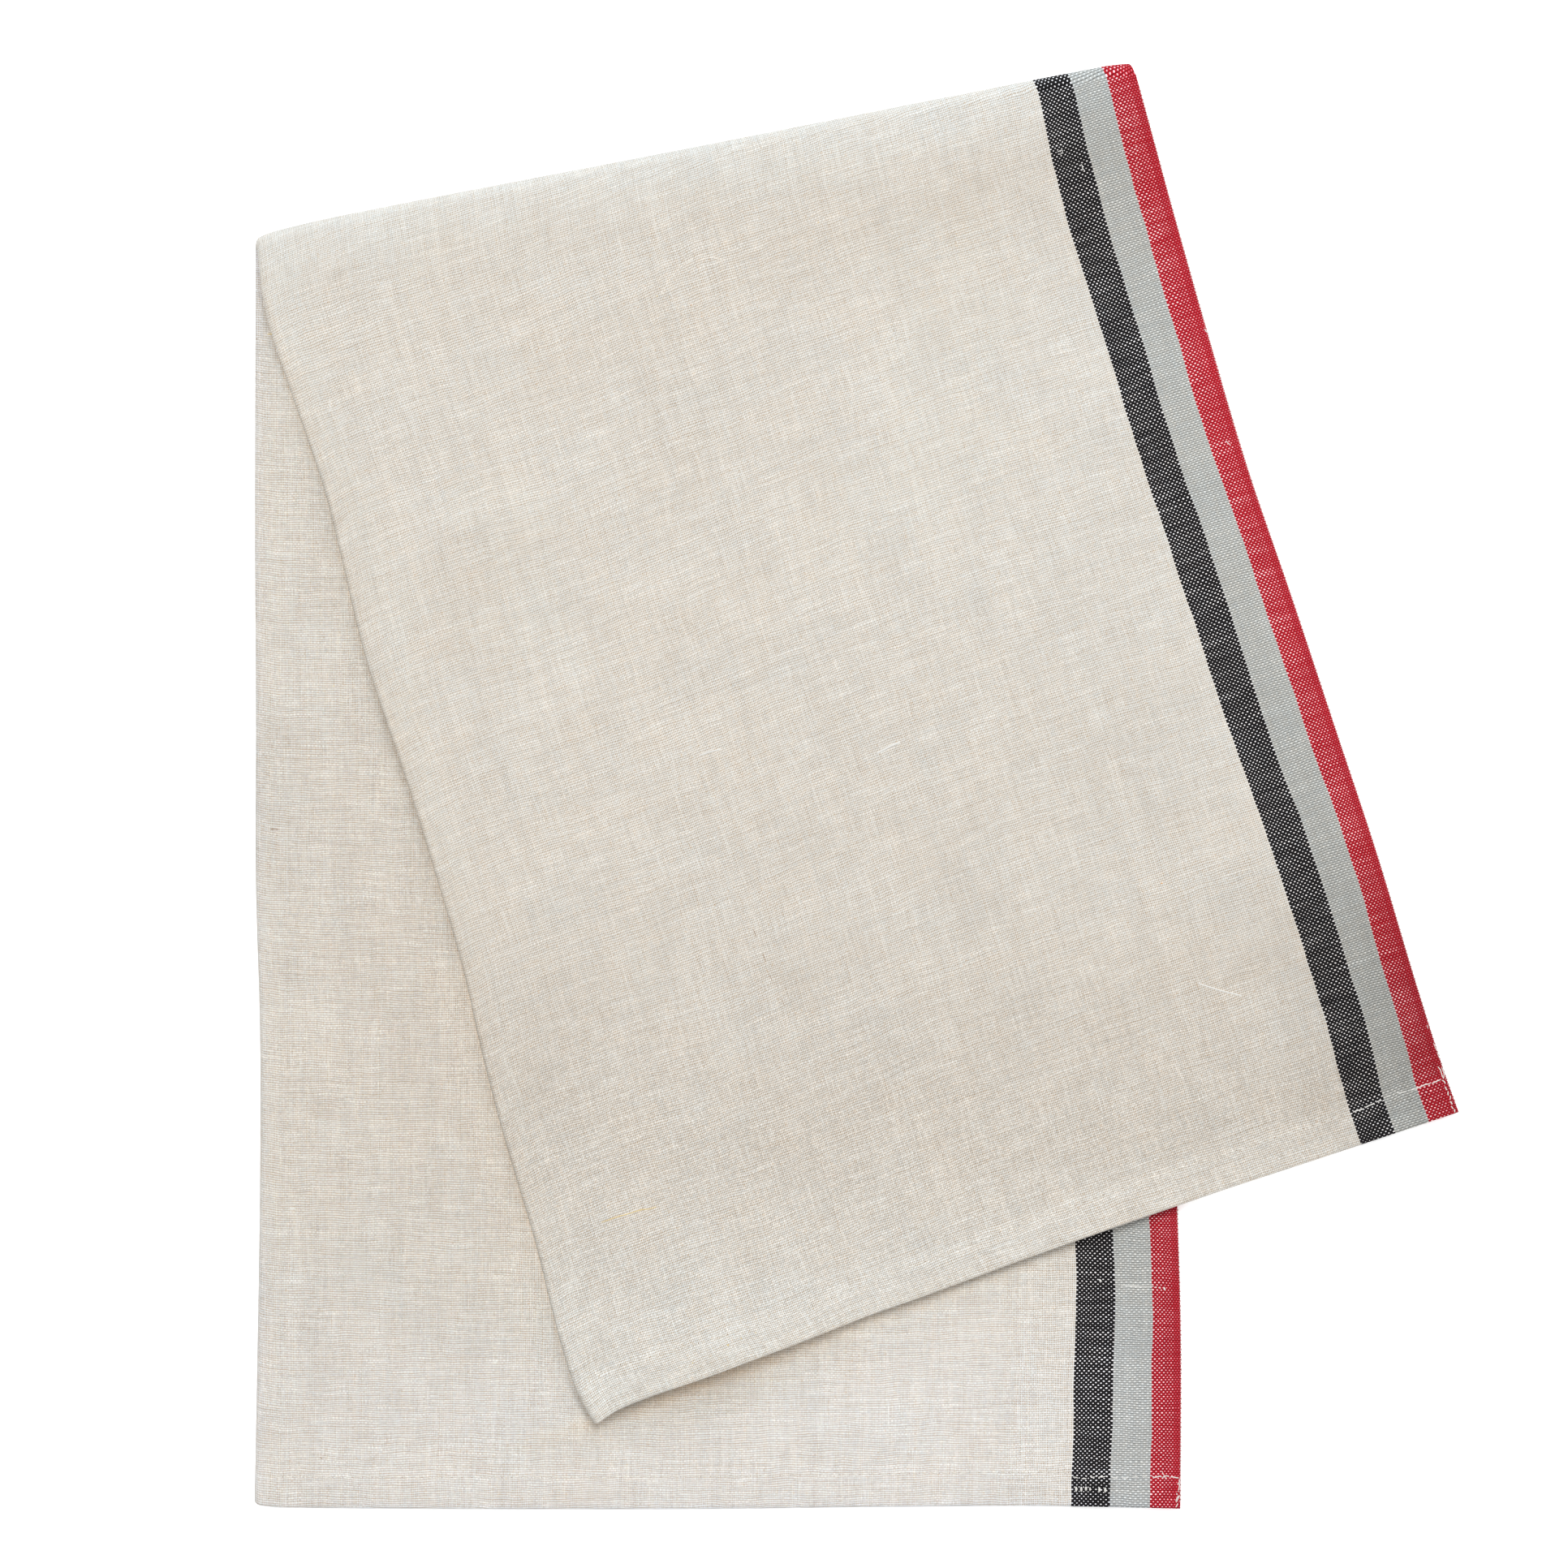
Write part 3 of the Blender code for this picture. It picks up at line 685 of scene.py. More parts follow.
# A strand lies on the cloth through points in plan, thick in the middle and dipping in at its ends
Strand = namedtuple("Strand", "thick lift points")
STRANDS = {
    "sewing": table(
        Strand,
        # Across the stripes of the lower hem
        (0.34, 0.06, ((81.2, -189.5), (81.8, -189.9), (82.6, -189.8), (83.5, -189.6), (84, -190))),
        (0.32, 0.06, ((84, -190), (84.7, -189.7), (85.4, -189.5), (86.1, -189.9))),
        (0.34, 0.06, ((86.2, -189.8), (87, -189.8), (87.9, -190), (88.8, -190.1))),
        (0.2, 0.15, ((83.9, -188.1), (84.2, -188.6), (84.7, -189.7), (85, -190.2), (85.3, -190.6))),
        (0.28, 0.04, ((59.3, -189.8), (60.2, -189.9), (61.1, -190.2))),
        (0.28, 0.04, ((61.8, -190.2), (62.5, -190.3), (63.4, -190.2))),
        (0.28, 0.04, ((64.3, -190), (64.9, -189.9), (65.7, -189.8))),
        (0.28, 0.04, ((66.4, -190), (67, -189.8), (67.7, -189.8), (68.6, -189.6))),
        (0.24, 0.02, ((70, -189.9), (72, -190.2))), (0.24, 0.02, ((72.8, -190.1), (74.8, -190.1))),
        (0.24, 0.02, ((75.6, -189.9), (77.5, -189.7))), (0.24, 0.02, ((78.3, -189.6), (80.2, -189.6))),
        # Back along the lower part's selvedge, to fasten off
        (0.3, 0.06, ((88.8, -190.3), (88.8, -190.9), (88.7, -191.4), (88.1, -192))),
        (0.3, 0.06, ((88.8, -191.4), (88.8, -192.2), (88.7, -192.9), (88.6, -193.7))),
        (0.24, 0.04, ((88.3, -193.5), (88.6, -194))), (0.46, 0.06, ((88.1, -194.2), (88.1, -194.8))),
        (0.3, 0.06, ((88.9, -194.7), (88.4, -195.8), (87.9, -196.9))),
        (0.26, 0.06, ((88.6, -194.7), (88.1, -195.7), (87.7, -196.7))),
        (0.3, 0.06, ((88.4, -196.9), (88.1, -197.7), (87.7, -198.2))),
        # Across the stripes of the flap's hem
        (0.34, 0.06, ((136.4, -89.5), (137.6, -89), (138.5, -88.8), (139.7, -88.4))),
        (0.34, 0.06, ((139.8, -88.3), (140.8, -87.7), (142, -87.2), (142.6, -86.9))),
        (0.32, 0.06, ((142.8, -86.8), (143.8, -86.3), (144.7, -86.2))),
        (0.3, 0.05, ((145.6, -85.3), (147.1, -84.7))),
        (0.3, 0.05, ((148.6, -84.2), (150.1, -84), (151.6, -83.6))),
        (0.3, 0.05, ((152.2, -83.5), (153, -83.2), (154, -82.9))),
        (0.34, 0.06, ((153.7, -83.1), (155.2, -82.4), (156.6, -81.8), (158.1, -81.6))),
        (0.34, 0.06, ((158.1, -81.6), (159, -81.2), (160.3, -80.6), (160.8, -80.5))),
        # Back along the flap's selvedge
        (0.34, 0.06, ((160.9, -80.5), (161.7, -81), (162, -81.8))),
        (0.32, 0.06, ((161.8, -82.2), (162.2, -83), (162.6, -83.4))),
        (0.34, 0.06, ((162.8, -83.5), (162.7, -84.4), (162.9, -84.9))),
        (0.3, 0.06, ((163.3, -84.7), (163.4, -85.4), (163.3, -86.1))),
        (0.36, 0.06, ((163.2, -86.3), (163.7, -86.9), (163.9, -87.4))),
        (0.3, 0.06, ((163.6, -87.6), (163.9, -88.2), (164.3, -88.6))),
        (0.36, 0.06, ((164.6, -88.5), (164.5, -89), (164.7, -89.5))),
        (0.3, 0.06, ((159.8, -76.7), (160.7, -77.9), (161, -79), (161.6, -80.4))),
        (0.24, 0.06, ((160.9, -76.9), (161.6, -78.7), (161.5, -80.4))),
        (0.18, 0.1, ((158.7, -70.3), (159.2, -71.5), (159.7, -72.7))),
        (0.18, 0.1, ((159.7, -72.9), (160.1, -73.9), (160.5, -74.8))),
        (0.18, 0.1, ((156.9, -65.3), (157.3, -66.6))),
    ),
    "linen_slub": table(
        Strand,
        # Ends of weft that show as ovals in the lower black stripe
        (0.66, 0.05, ((60.4, -192.4), (60.4, -194))), (0.7, 0.05, ((61.8, -192.4), (61.8, -194))),
        (0.66, 0.05, ((63.1, -192.3), (63.1, -193.8))), (0.4, 0.05, ((64.2, -192.5), (64.2, -193.8))),
        (0.7, 0.05, ((66.8, -192.5), (66.8, -194.1))), (0.7, 0.05, ((68.4, -192.6), (68.4, -194.2))),
        # Slubs and knots in the linen
        (0.52, 0.02, ((-43.7, 8.6), (-40, 9.8), (-37, 10.6))),
        (0.7, 0.02, ((5.3, 9.2), (8.6, 10.9), (12.2, 12.6))),
        (0.44, 0.02, ((93.8, -53.9), (100, -55.9), (106.1, -57.4))),
        (0.55, 0.03, ((-100.3, -158), (-98.9, -158))), (0.55, 0.03, ((-156.4, -116.1), (-154.4, -115.9))),
        (0.4, 0.03, ((-144.9, 107.3), (-144.9, 105), (-144.9, 102.8))),
        (0.22, 0.08, ((61.6, 171.4), (62, 170.9), (62.1, 170.2), (62.9, 169.3))),
        (0.18, 0.08, ((62.1, 170.2), (61.9, 169.4))),
        (0.2, 0.08, ((55, 174.5), (55.8, 175), (56.6, 175.1), (56.2, 174.1), (55.4, 174.2))),
        (0.55, 0.06, ((66.6, -135.4), (67, -135.7), (67.5, -136.2))),
        (0.6, 0.06, ((84.5, -137.5), (84.7, -138), (84.9, -138.6))),
        (0.5, 0.06, ((83.3, -137.4), (83.6, -138.1))), (0.42, 0.05, ((82.3, -137.3), (82.5, -137.9))),
        (0.24, 0.02, ((72.5, -137), (76.5, -137.3), (79.5, -137.5), (82, -137.4))),
        (0.3, 0.08, ((95.6, 126.2), (96, 125.6), (96.5, 125))),
        (0.22, 0.1, ((101.6, 95.5), (101.9, 95), (102.4, 94.5), (103, 94.1))),
        (0.16, 0.25, ((-54.2, 135), (-51.3, 139.5), (-48.2, 143), (-45, 145.3))),
        (0.14, 0.25, ((-43.8, 144.6), (-40.3, 145.5), (-35.9, 144.8))),
    ),
    "straw": table(
        Strand,
        (0.24, 0.02, ((-70.5, -119.8), (-66, -118.2), (-62.7, -117.3), (-59.3, -116.2),
                     (-57.1, -116), (-54.9, -115.3))),
        (0.42, 0.02, ((-59.8, -116.4), (-58.9, -116.1))), (0.3, 0.02, ((-55.2, 135.1), (-54.6, 135.1))),
        (0.32, 0, ((-10.9, 155.3), (-10.3, 155.4))), (0.32, 0, ((-144.3, 27.9), (-143.6, 27.9))),
        (0.5, 0, ((-35.9, -153.5), (-34.9, -153.2))), (0.34, 0, ((-32.1, -151.6), (-31.5, -151.4))),
        (0.3, 0, ((-28.1, -150), (-27.5, -149.9))), (0.34, 0, ((-45.4, -158.3), (-44.8, -158.1))),
        (0.3, 0, ((-162.4, 124.7), (-160.4, 124.7))),
    ),
    "rust": table(
        Strand, (0.38, 0.02, ((83.5, -26.5), (84.3, -26.3))), (0.26, 0, ((-45.7, 132.6), (-45.3, 132.7))),
        (0.26, 0, ((-42.9, 129.4), (-42.5, 129.5))),
    ),
    "bark_and_crease_shade": table(
        Strand, (0.26, 0.02, ((-147.8, -184.2), (-147, -185))),
        (0.3, 0, ((-162.1, -195.8), (-161.6, -195.8))),
        (0.26, 0, ((-161.5, -11.6), (-160.2, -11.5), (-158.8, -11.6))),
        (0.34, 0, ((-165.3, 123.4), (-164.8, 123.4))),
        # Dark dashes along a crease in the flap: painted shade in its trough
        (0.16, 0, ((-28.6, -38.7), (-28, -40.2), (-27.5, -41.6))),
        (0.14, 0, ((-25.9, -45.5), (-25.4, -46.9), (-24.9, -48.3))),
        (0.14, 0, ((-24.1, -51.3), (-23.6, -52.5), (-23.2, -53.6))),
        (0.14, 0, ((-20.8, -57.6), (-20.2, -59.2), (-19.7, -60.6))),
    ),
}
LUCK_SEED = 7
RAY_START = 0.1
STRAND_SIDES = 6
STRAND_FLAT = 0.8             # height of a strand, as a share of its width
END_THICK = 0.40              # width of its ends, as a share of its own
END_DIP = 0.35                # how far they dip in
STRAND_STEP = 0.45 * MM
STITCH_PITCH = 2.7 * MM
STITCH_SPAN = 0.80            # of the pitch, the rest being under the cloth
STITCH_THICK = 0.28
STITCH_LIFT = 0.05
STITCH_SLANT = 0.16 * MM
STITCH_STRAYS = 0.05
STITCH_BOW = 0.04
STITCH_VARIES = (0.9, 1.1)
STITCHED = ((0.010, 0.880), (0.012, 0.880))       # shares of the hems, up to where the strands take over
# A needle hole is a short dark strand of painted shade, dipping into the cloth
HOLE_LENGTH = 0.55 * MM
HOLE_THICK = 0.28
HOLE_DEPTH = 0.03
HOLE_SLANT = 0.45
HOLE_VARIES = (0.7, 1.1)
LOOP_PITCH = 1.25 * MM        # the weft turns round the outermost end at every second pick
LOOP_OUT = 0.16 * MM
LOOP_OUT_VARIES = (0.2, 1.3)
LOOP_IN = 0.50 * MM
LOOP_THICK = 0.26
LOOP_STRAYS = 0.15
LOOP_LEGS = (0.28, 0.25)      # half of a loop's length, inside the selvedge and at it
LOOP_STARTS = 4               # no loops on the cross fold
BESIDE_SELVEDGE = 0.05 * MM
WELL_INSIDE = 0.3 * MM
LOOP_SINKS = (0.12, 0.5)      # shares of the cloth's thickness, inside the selvedge and past it


class Cloth:
    """Finds the faces of the towel, to lay things on them."""

    def __init__(self, towel):
        points = [vertex.co.copy() for vertex in towel.data.vertices]
        self.tree = BVHTree.FromPolygons(points, [face.vertices for face in towel.data.polygons])

    def height(self, x, y, face=1):
        """Height of the face that shows from above, or from below at face -1. None off the cloth."""
        place = self.tree.ray_cast(Vector((x, y, face * RAY_START)), Vector((0, 0, -face)))[0]
        return place.z if place else None


def smooth_line(points, step):
    """Points at even steps on a curve through the given ones."""
    points = [Vector((*point, 0)) * MM for point in points]
    ends = [points[0] * 2 - points[1], *points, points[-1] * 2 - points[-2]]
    line = []
    for before, start, end, after in zip(ends, ends[1:], ends[2:], ends[3:]):
        count = max(2, round((end - start).length / step))
        for i in range(count):
            s = i / count
            line.append(0.5 * (2 * start + (end - before) * s
                               + (2 * before - 5 * start + 4 * end - after) * s ** 2
                               + (3 * start - before - 3 * end + after) * s ** 3))
    return line + [points[-1]]


def laid(cloth, line, thick, lift, face=1):
    """The line laid on the cloth, its ends dipping in. None where it runs off the cloth."""
    path = []
    for i, point in enumerate(line):
        height = cloth.height(point.x, point.y, face)
        if height is None:
            return None
        arch = math.sin(math.pi * i / (len(line) - 1)) ** 0.5
        off = lift * arch - END_DIP * thick * (1 - arch)
        path.append(Vector((point.x, point.y, height + face * off * MM)))
    return path


def add_strand(mesh, path, thick):
    """Adds a tube of a little less height than width along a path, with rounded ends."""
    rings = []
    last = len(path) - 1
    for i, point in enumerate(path):
        run = (path[min(i + 1, last)] - path[max(i - 1, 0)]).normalized()
        side = run.cross(Vector((0, 0, 1))).normalized()
        up = side.cross(run)
        to_end = min((point - path[0]).length, (point - path[-1]).length) / (thick * MM)
        radius = thick * MM / 2 * (END_THICK + (1 - END_THICK) * float(ease(to_end)))
        rings.append([
            mesh.verts.new(point + radius * (side * math.cos(turn) + up * STRAND_FLAT * math.sin(turn)))
            for turn in (2 * math.pi * k / STRAND_SIDES for k in range(STRAND_SIDES))
        ])
    for ring, after in zip(rings, rings[1:]):
        for k in range(STRAND_SIDES):
            beside = (k + 1) % STRAND_SIDES
            mesh.faces.new((ring[k], ring[beside], after[beside], after[k]))
    mesh.faces.new(rings[0][::-1])
    mesh.faces.new(rings[-1])


def sew_hem(cloth, meshes, part, face, luck):
    """Stitches along a part's hem, up to the stripes, with a needle hole of painted shade at each one's
    end.
    """
    start, end = STITCHED[part]
    count = round((end - start) * HALF_WIDTH / STITCH_PITCH)
    length = LENGTHS[part]
    knots = start + (end - start) * np.arange(count + 1) / count
    line = on_part(part, knots, 1 - stitch_depth(part, knots) / length)
    for here, there in zip(line, line[1:]):
        here = Vector((*here, 0))
        run = Vector((*there, 0)) - here
        across = Vector((-run.y, run.x, 0)).normalized()
        first = here + across * (STITCH_SLANT + luck.gauss(0, STITCH_STRAYS) * MM)
        last = here + run * STITCH_SPAN - across * (STITCH_SLANT + luck.gauss(0, STITCH_STRAYS) * MM)
        thick = STITCH_THICK * luck.uniform(*STITCH_VARIES)
        middle = (first + last) / 2 + across * luck.gauss(0, STITCH_BOW) * MM
        points = [(point / MM)[:2] for point in (first, middle, last)]
        path = laid(cloth, smooth_line(points, STRAND_STEP), thick, STITCH_LIFT, face)
        if path:
            add_strand(meshes["hem_sewing"], path, thick)
        middle = here + run * (STITCH_SPAN + 1) / 2
        slant = (run.normalized() * HOLE_SLANT + across * luck.uniform(*HOLE_VARIES)).normalized()
        ends = [((middle + slant * HOLE_LENGTH / 2 * side) / MM)[:2] for side in (-1, 1)]
        thick = HOLE_THICK * luck.uniform(*HOLE_VARIES)
        path = laid(cloth, smooth_line(ends, STRAND_STEP / 2), thick, -HOLE_DEPTH, face)
        if path:
            add_strand(meshes["needle_hole_shade"], path, thick)


def add_pick_loops(cloth, mesh, part, luck):
    """Turns of the weft round the outermost end, along a part's two selvedges."""
    length = LENGTHS[part]
    count = round(length / LOOP_PITCH)
    leg, turn = LOOP_LEGS
    for selvedge, face in ((0.0, 1), (SELVEDGE_STEP, -1)):
        for i in range(LOOP_STARTS, count - 1):
            along = (i + luck.uniform(-LOOP_STRAYS, LOOP_STRAYS)) / count
            reach = selvedge - (LOOP_OUT * luck.uniform(*LOOP_OUT_VARIES))
            inner, near = LOOP_IN + selvedge, selvedge + BESIDE_SELVEDGE
            stations = ((inner, -leg), (near, -turn), (reach, 0.0), (near, turn), (inner, leg))
            path = []
            for inward, step in stations:
                place = on_part(part, 1 - inward / HALF_WIDTH, along + step * LOOP_PITCH / length)
                inside = on_part(part, 1 - (max(inward, selvedge) + WELL_INSIDE) / HALF_WIDTH, along)
                height = cloth.height(*inside, face)
                if height is None:
                    break
                sink = CLOTH * LOOP_SINKS[inward < selvedge]
                path.append(Vector((*place, height - face * sink)))
            if len(path) == len(stations):
                add_strand(mesh, path, LOOP_THICK)


def make_threads(towel):
    """One piece for each yarn: stitches, painted shade of needle holes, fastened ends, slubs, specks and
    fibres.
    """
    cloth = Cloth(towel)
    meshes = {yarn: bmesh.new() for yarn in YARNS}
    luck = random.Random(LUCK_SEED)
    sew_hem(cloth, meshes, LOWER, 1, luck)
    sew_hem(cloth, meshes, FLAP, 1, luck)
    sew_hem(cloth, meshes, LOWER, -1, luck)
    for yarn, strands in STRANDS.items():
        for strand in strands:
            path = laid(cloth, smooth_line(strand.points, STRAND_STEP), strand.thick, strand.lift)
            if path:
                add_strand(meshes[yarn], path, strand.thick)
    add_pick_loops(cloth, meshes["weft_edge"], LOWER, luck)
    add_pick_loops(cloth, meshes["weft_edge"], FLAP, luck)
    pieces = []
    for yarn, built in meshes.items():
        name = "threads_" + yarn
        data = bpy.data.meshes.new(name)
        built.to_mesh(data)
        built.free()
        data.shade_smooth()
        data.materials.append(yarn_material(yarn, YARNS[yarn]))
        piece = add_object(name, data)
        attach(piece, "root")
        pieces.append(piece)
    return pieces


# Materials

def add_node(tree, kind, values=(), **settings):
    """A new node with its settings, and with what goes into its inputs, in order or by name."""
    node = tree.nodes.new("ShaderNode" + kind)
    for name, setting in settings.items():
        setattr(node, name, setting)
    if not isinstance(values, dict):
        values = dict(enumerate(values))
    for pin, value in values.items():
        feed(tree, node.inputs[pin], value)
    return node


def feed(tree, pin, value):
    """Puts a plain value on a node's input, or links a number or an output of the tree to it."""
    if isinstance(value, Number):
        value = value.socket
    if isinstance(value, bpy.types.NodeSocket):
        tree.links.new(value, pin)
    else:
        pin.default_value = value


class Number:
    """A number in a material's node tree. Arithmetic on it adds the nodes that work it out."""

    def __init__(self, tree, socket):
        self.tree = tree
        self.socket = socket

    def math(self, operation, *others):
        node = add_node(self.tree, "Math", (self, *others), operation=operation)
        return Number(self.tree, node.outputs[0])

    def __rsub__(self, other):
        return self * -1.0 + other

    def ramp(self, low, high):
        """A soft step from 0 to 1, between low and high."""
        step = add_node(self.tree, "MapRange", (self, low, high), interpolation_type="SMOOTHSTEP")
        return Number(self.tree, step.outputs[0])

    def between(self, first, second):
        """The first of two numbers where this one is 0, and the second where it is 1."""
        return Number(self.tree, add_node(self.tree, "Mix", {0: self, 2: first, 3: second}).outputs[0])


OPERATIONS = {
    "__add__": "ADD", "__radd__": "ADD", "__sub__": "SUBTRACT", "__mul__": "MULTIPLY",
    "__rmul__": "MULTIPLY", "__truediv__": "DIVIDE", "floor": "FLOOR", "fract": "FRACT",
    "size": "ABSOLUTE", "cos": "COSINE", "above": "GREATER_THAN", "least": "MINIMUM", "most": "MAXIMUM",
}
for method, operation in OPERATIONS.items():
    setattr(Number, method, partialmethod(Number.math, operation))


def cloudy(tree, x, y, detail=0.0):
    """Three unlike smooth random numbers, from about -0.3 to 0.3, at a place in a plane."""
    place = add_node(tree, "CombineXYZ", (x, y)).outputs[0]
    values = {"Vector": place, "Scale": 1.0, "Detail": detail}
    texture = add_node(tree, "TexNoise", values, noise_dimensions="2D")
    parts = add_node(tree, "SeparateColor", (texture.outputs["Color"],))
    return [Number(tree, output) - 0.5 for output in parts.outputs]


def scattered(tree, value):
    """A random number from -0.5 to 0.5 for each whole value."""
    texture = add_node(tree, "TexWhiteNoise", {"W": value}, noise_dimensions="1D")
    return Number(tree, texture.outputs["Value"]) - 0.5


def mixed(tree, share, first, second):
    """A colour between two, or one of them at share 0 or 1."""
    return add_node(tree, "Mix", {0: share, 6: first, 7: second}, data_type="RGBA").outputs[2]


def scaled(tree, colour, factor):
    """A colour made brighter or darker by a number."""
    return add_node(tree, "VectorMath", {0: colour, "Scale": factor}, operation="SCALE").outputs[0]


def painted(tree, name):
    """A number that the mesh keeps at its points."""
    return Number(tree, add_node(tree, "Attribute", attribute_name=name).outputs["Fac"])


# How unevenly the threads lie: the lengths of two unevennesses, where the second one's pattern
# starts, and how far each shifts the warp and the weft, in millimetres
SWAY_LENGTH = 19
SWAY_SHIFTS = (0.5, 0.9)
WAVER_LENGTH = 5
WAVER_START = 40
WAVER_SHIFTS = (0.25, 0.50)


def thread_places(tree):
    """The cloth's coordinates at a point, in millimetres, plain and as unevenly as threads lie."""
    place = add_node(tree, "UVMap", uv_map="cloth").outputs[0]
    parts = add_node(tree, "SeparateXYZ", (place,)).outputs
    across = Number(tree, parts[0]) / MM
    along = Number(tree, parts[1]) / MM
    sway = cloudy(tree, across / SWAY_LENGTH, along / SWAY_LENGTH)
    waver = cloudy(tree, across / WAVER_LENGTH, along / WAVER_LENGTH + WAVER_START)
    warp_at, weft_at = (plain + sway[i] * SWAY_SHIFTS[i] + waver[i] * WAVER_SHIFTS[i]
                        for i, plain in enumerate((across, along)))
    return across, along, warp_at, weft_at


# Light that comes through the linen makes its shadows warm and soft, on cloth that faces up
HOLLOW_SAMPLES = 4
HOLLOW_REACH = 2.0 * MM
HOLLOW_FACES = (0.2, 0.75)
HOLLOW_WARMTH = 0.15
HOLLOW_MOST = 0.5
HOLLOW_LIGHT = 4.0


def hollow(tree):
    """How far cloth that faces up is hemmed in: 0 in the open, towards 1 in a narrow gap."""
    open_sky = add_node(tree, "AmbientOcclusion", {"Distance": HOLLOW_REACH}, samples=HOLLOW_SAMPLES)
    gap = 1.0 - Number(tree, open_sky.outputs["AO"])
    normal = add_node(tree, "NewGeometry").outputs["Normal"]
    up = Number(tree, add_node(tree, "SeparateXYZ", (normal,)).outputs[2])
    return (gap * gap).least(HOLLOW_MOST) * up.ramp(*HOLLOW_FACES)


# The weave, with its pitches in millimetres
WARP_PITCH = 0.49
WEFT_PITCH = 0.625
WARP_COLOUR = (0.531, 0.512, 0.470, 1.0)
WEFT_COLOUR = (0.562, 0.543, 0.503, 1.0)
FLECK_COLOUR = (0.410, 0.295, 0.180, 1.0)
FLECK_SHARE = 0.45
# The gaps between the threads are painted shade, warm brown
GAP_SHADE_COLOUR = (0.277, 0.176, 0.086, 1.0)
CROSSING_HEIGHT = 0.10 * MM
CUT_EDGE = (0.5, 0.2)         # how near the cloth's ends the gaps close over
STRIPE_ENDS = sum(zone.ends for zone in ZONES)
# The ends at the stripes' edges, where the weft shows right up to the edge, and whether the edge is
# on the side away from the selvedge
STRIPE_EDGES = ((15, True), (31, False), (STRIPE_ENDS - 1, True))

# Warp and weft threads: where their random patterns start, the length over which they vary, half
# of their width as a share of a crossing, how much a slub widens and lightens them, and how much
# thinner they are where the weave is loose
Kind = namedtuple("Kind", "noise_step noise_start luck_start length half slub_widens slub_lightens thins")
WARP = Kind(0.731, 0, 0, 9, 0.42, 0.07, 0.03, 0.06)
WEFT = Kind(0.917, 300, 4000, 11, 0.40, 0.09, 0.04, 0.09)
SLUB_FROM = (0.16, 0.26)
WIDTH_VARIES = 0.16
THREAD_STRAYS = (0.08, 0.16)  # as a whole, and along its length
THREAD_TONES = (0.06, 0.09)   # from thread to thread, and along its length
BESIDE_THREAD = -0.8
ROUND_HEIGHT = 0.7
WAVE_HEIGHT = 0.5
CROSSING_SOFT = 0.12
OTHER_SELVEDGE = 1371         # tells the threads of the second selvedge from the first one's
CROSSING_ROW = 1200

# The weft's dots in the stripes
DOT_VARIES = (0.7, 0.2, 0.1)  # along a thread, from thread to thread, and in a slub
DOT_SLANT = (0.05, 1.5)
DOT_EDGE = (-0.02, 0.72)
DOT_COVERS = (0.93, 0.6)
ROW_GAP = (0.18, 0.5)         # the dip between two picks, from a pick's middle
STRIPE_SHADE = (1.18, 0.50, 0.28)     # painted shade of the stripes' weave: in the open, less in a dip, and less again where the warp dives
STRIPE_RELIEF = (0.35, 0.3)
DOT_RELIEF = (0.5, 0.4)

# The cloth's cloudiness: lengths across and along, in millimetres, where its pattern starts, its
# detail, and how much it changes the brightness and the warmth
Cloud = namedtuple("Cloud", "across along start_across start_along detail tone warmth")
MOTTLE = Cloud(20, 20, 0, 0, 2.0, 0.09, 0.06)
WEFT_STREAK = Cloud(18, 1.7, 0, 90, 0.0, 0.035, 0.05)
WARP_STREAK = Cloud(1.5, 20, 70, 0, 0.0, 0.04, 0.05)
WARP_BAND = Cloud(4, 110, 130, 0, 0.0, 0.05, 0.0)
OPENING = Cloud(2.2, 1.6, 0, 20, 0.0, 0.0, 0.04)
GRAIN = Cloud(0.9, 0.45, 150, 0, 0.0, 0.12, 0.13)
CLOUDS = (MOTTLE, WEFT_STREAK, WARP_STREAK, WARP_BAND, OPENING, GRAIN)
FLECK_FROM = (0.27, 0.33)
OPENS = 0.09                  # how much the gaps between the threads vary
DEEP = (-0.28, 0.82)          # a gap's painted shade gives way to the thread's colour between these heights
# Painted shade on the plain weave: darker down the threads' sides, full on their tops
LINEN_SHADE = (0.84, 0.16)
LOOSE_TONE = 0.085
LOOSE_WARMTH = -0.035
CROSSING_TONE = (0.32, -0.02)
PLAIN_TONE = 0.982
WARMTH_SHARE = 0.5            # red goes up by it, and blue down

Spun = namedtuple("Spun", "noise luck slub top tone")


def spun(tree, kind, number, along, off, loose):
    """How a thread lies and varies at a point that is off its middle line, in crossings."""
    noise = cloudy(tree, number * kind.noise_step + kind.noise_start, along / kind.length)
    luck = scattered(tree, number + kind.luck_start)
    slub = noise[2].ramp(*SLUB_FROM)
    half = noise[0] * WIDTH_VARIES + kind.half + slub * kind.slub_widens - loose * kind.thins
    place = (off + luck * THREAD_STRAYS[0] + noise[1] * THREAD_STRAYS[1]) / half
    tone = 1.0 + luck * THREAD_TONES[0] + noise[0] * THREAD_TONES[1] + slub * kind.slub_lightens
    return Spun(noise, luck, slub, (1.0 - place * place).most(BESIDE_THREAD) * ROUND_HEIGHT, tone)


def by_zone(warp_number, blend, column, plain):
    """A column's value for the stripe that a warp end belongs to, or the plain linen's."""
    reached = STRIPE_ENDS
    for zone in reversed(ZONES):
        plain = blend(warp_number.above(reached - 0.5), getattr(zone, column), plain)
        reached -= zone.ends
    return plain


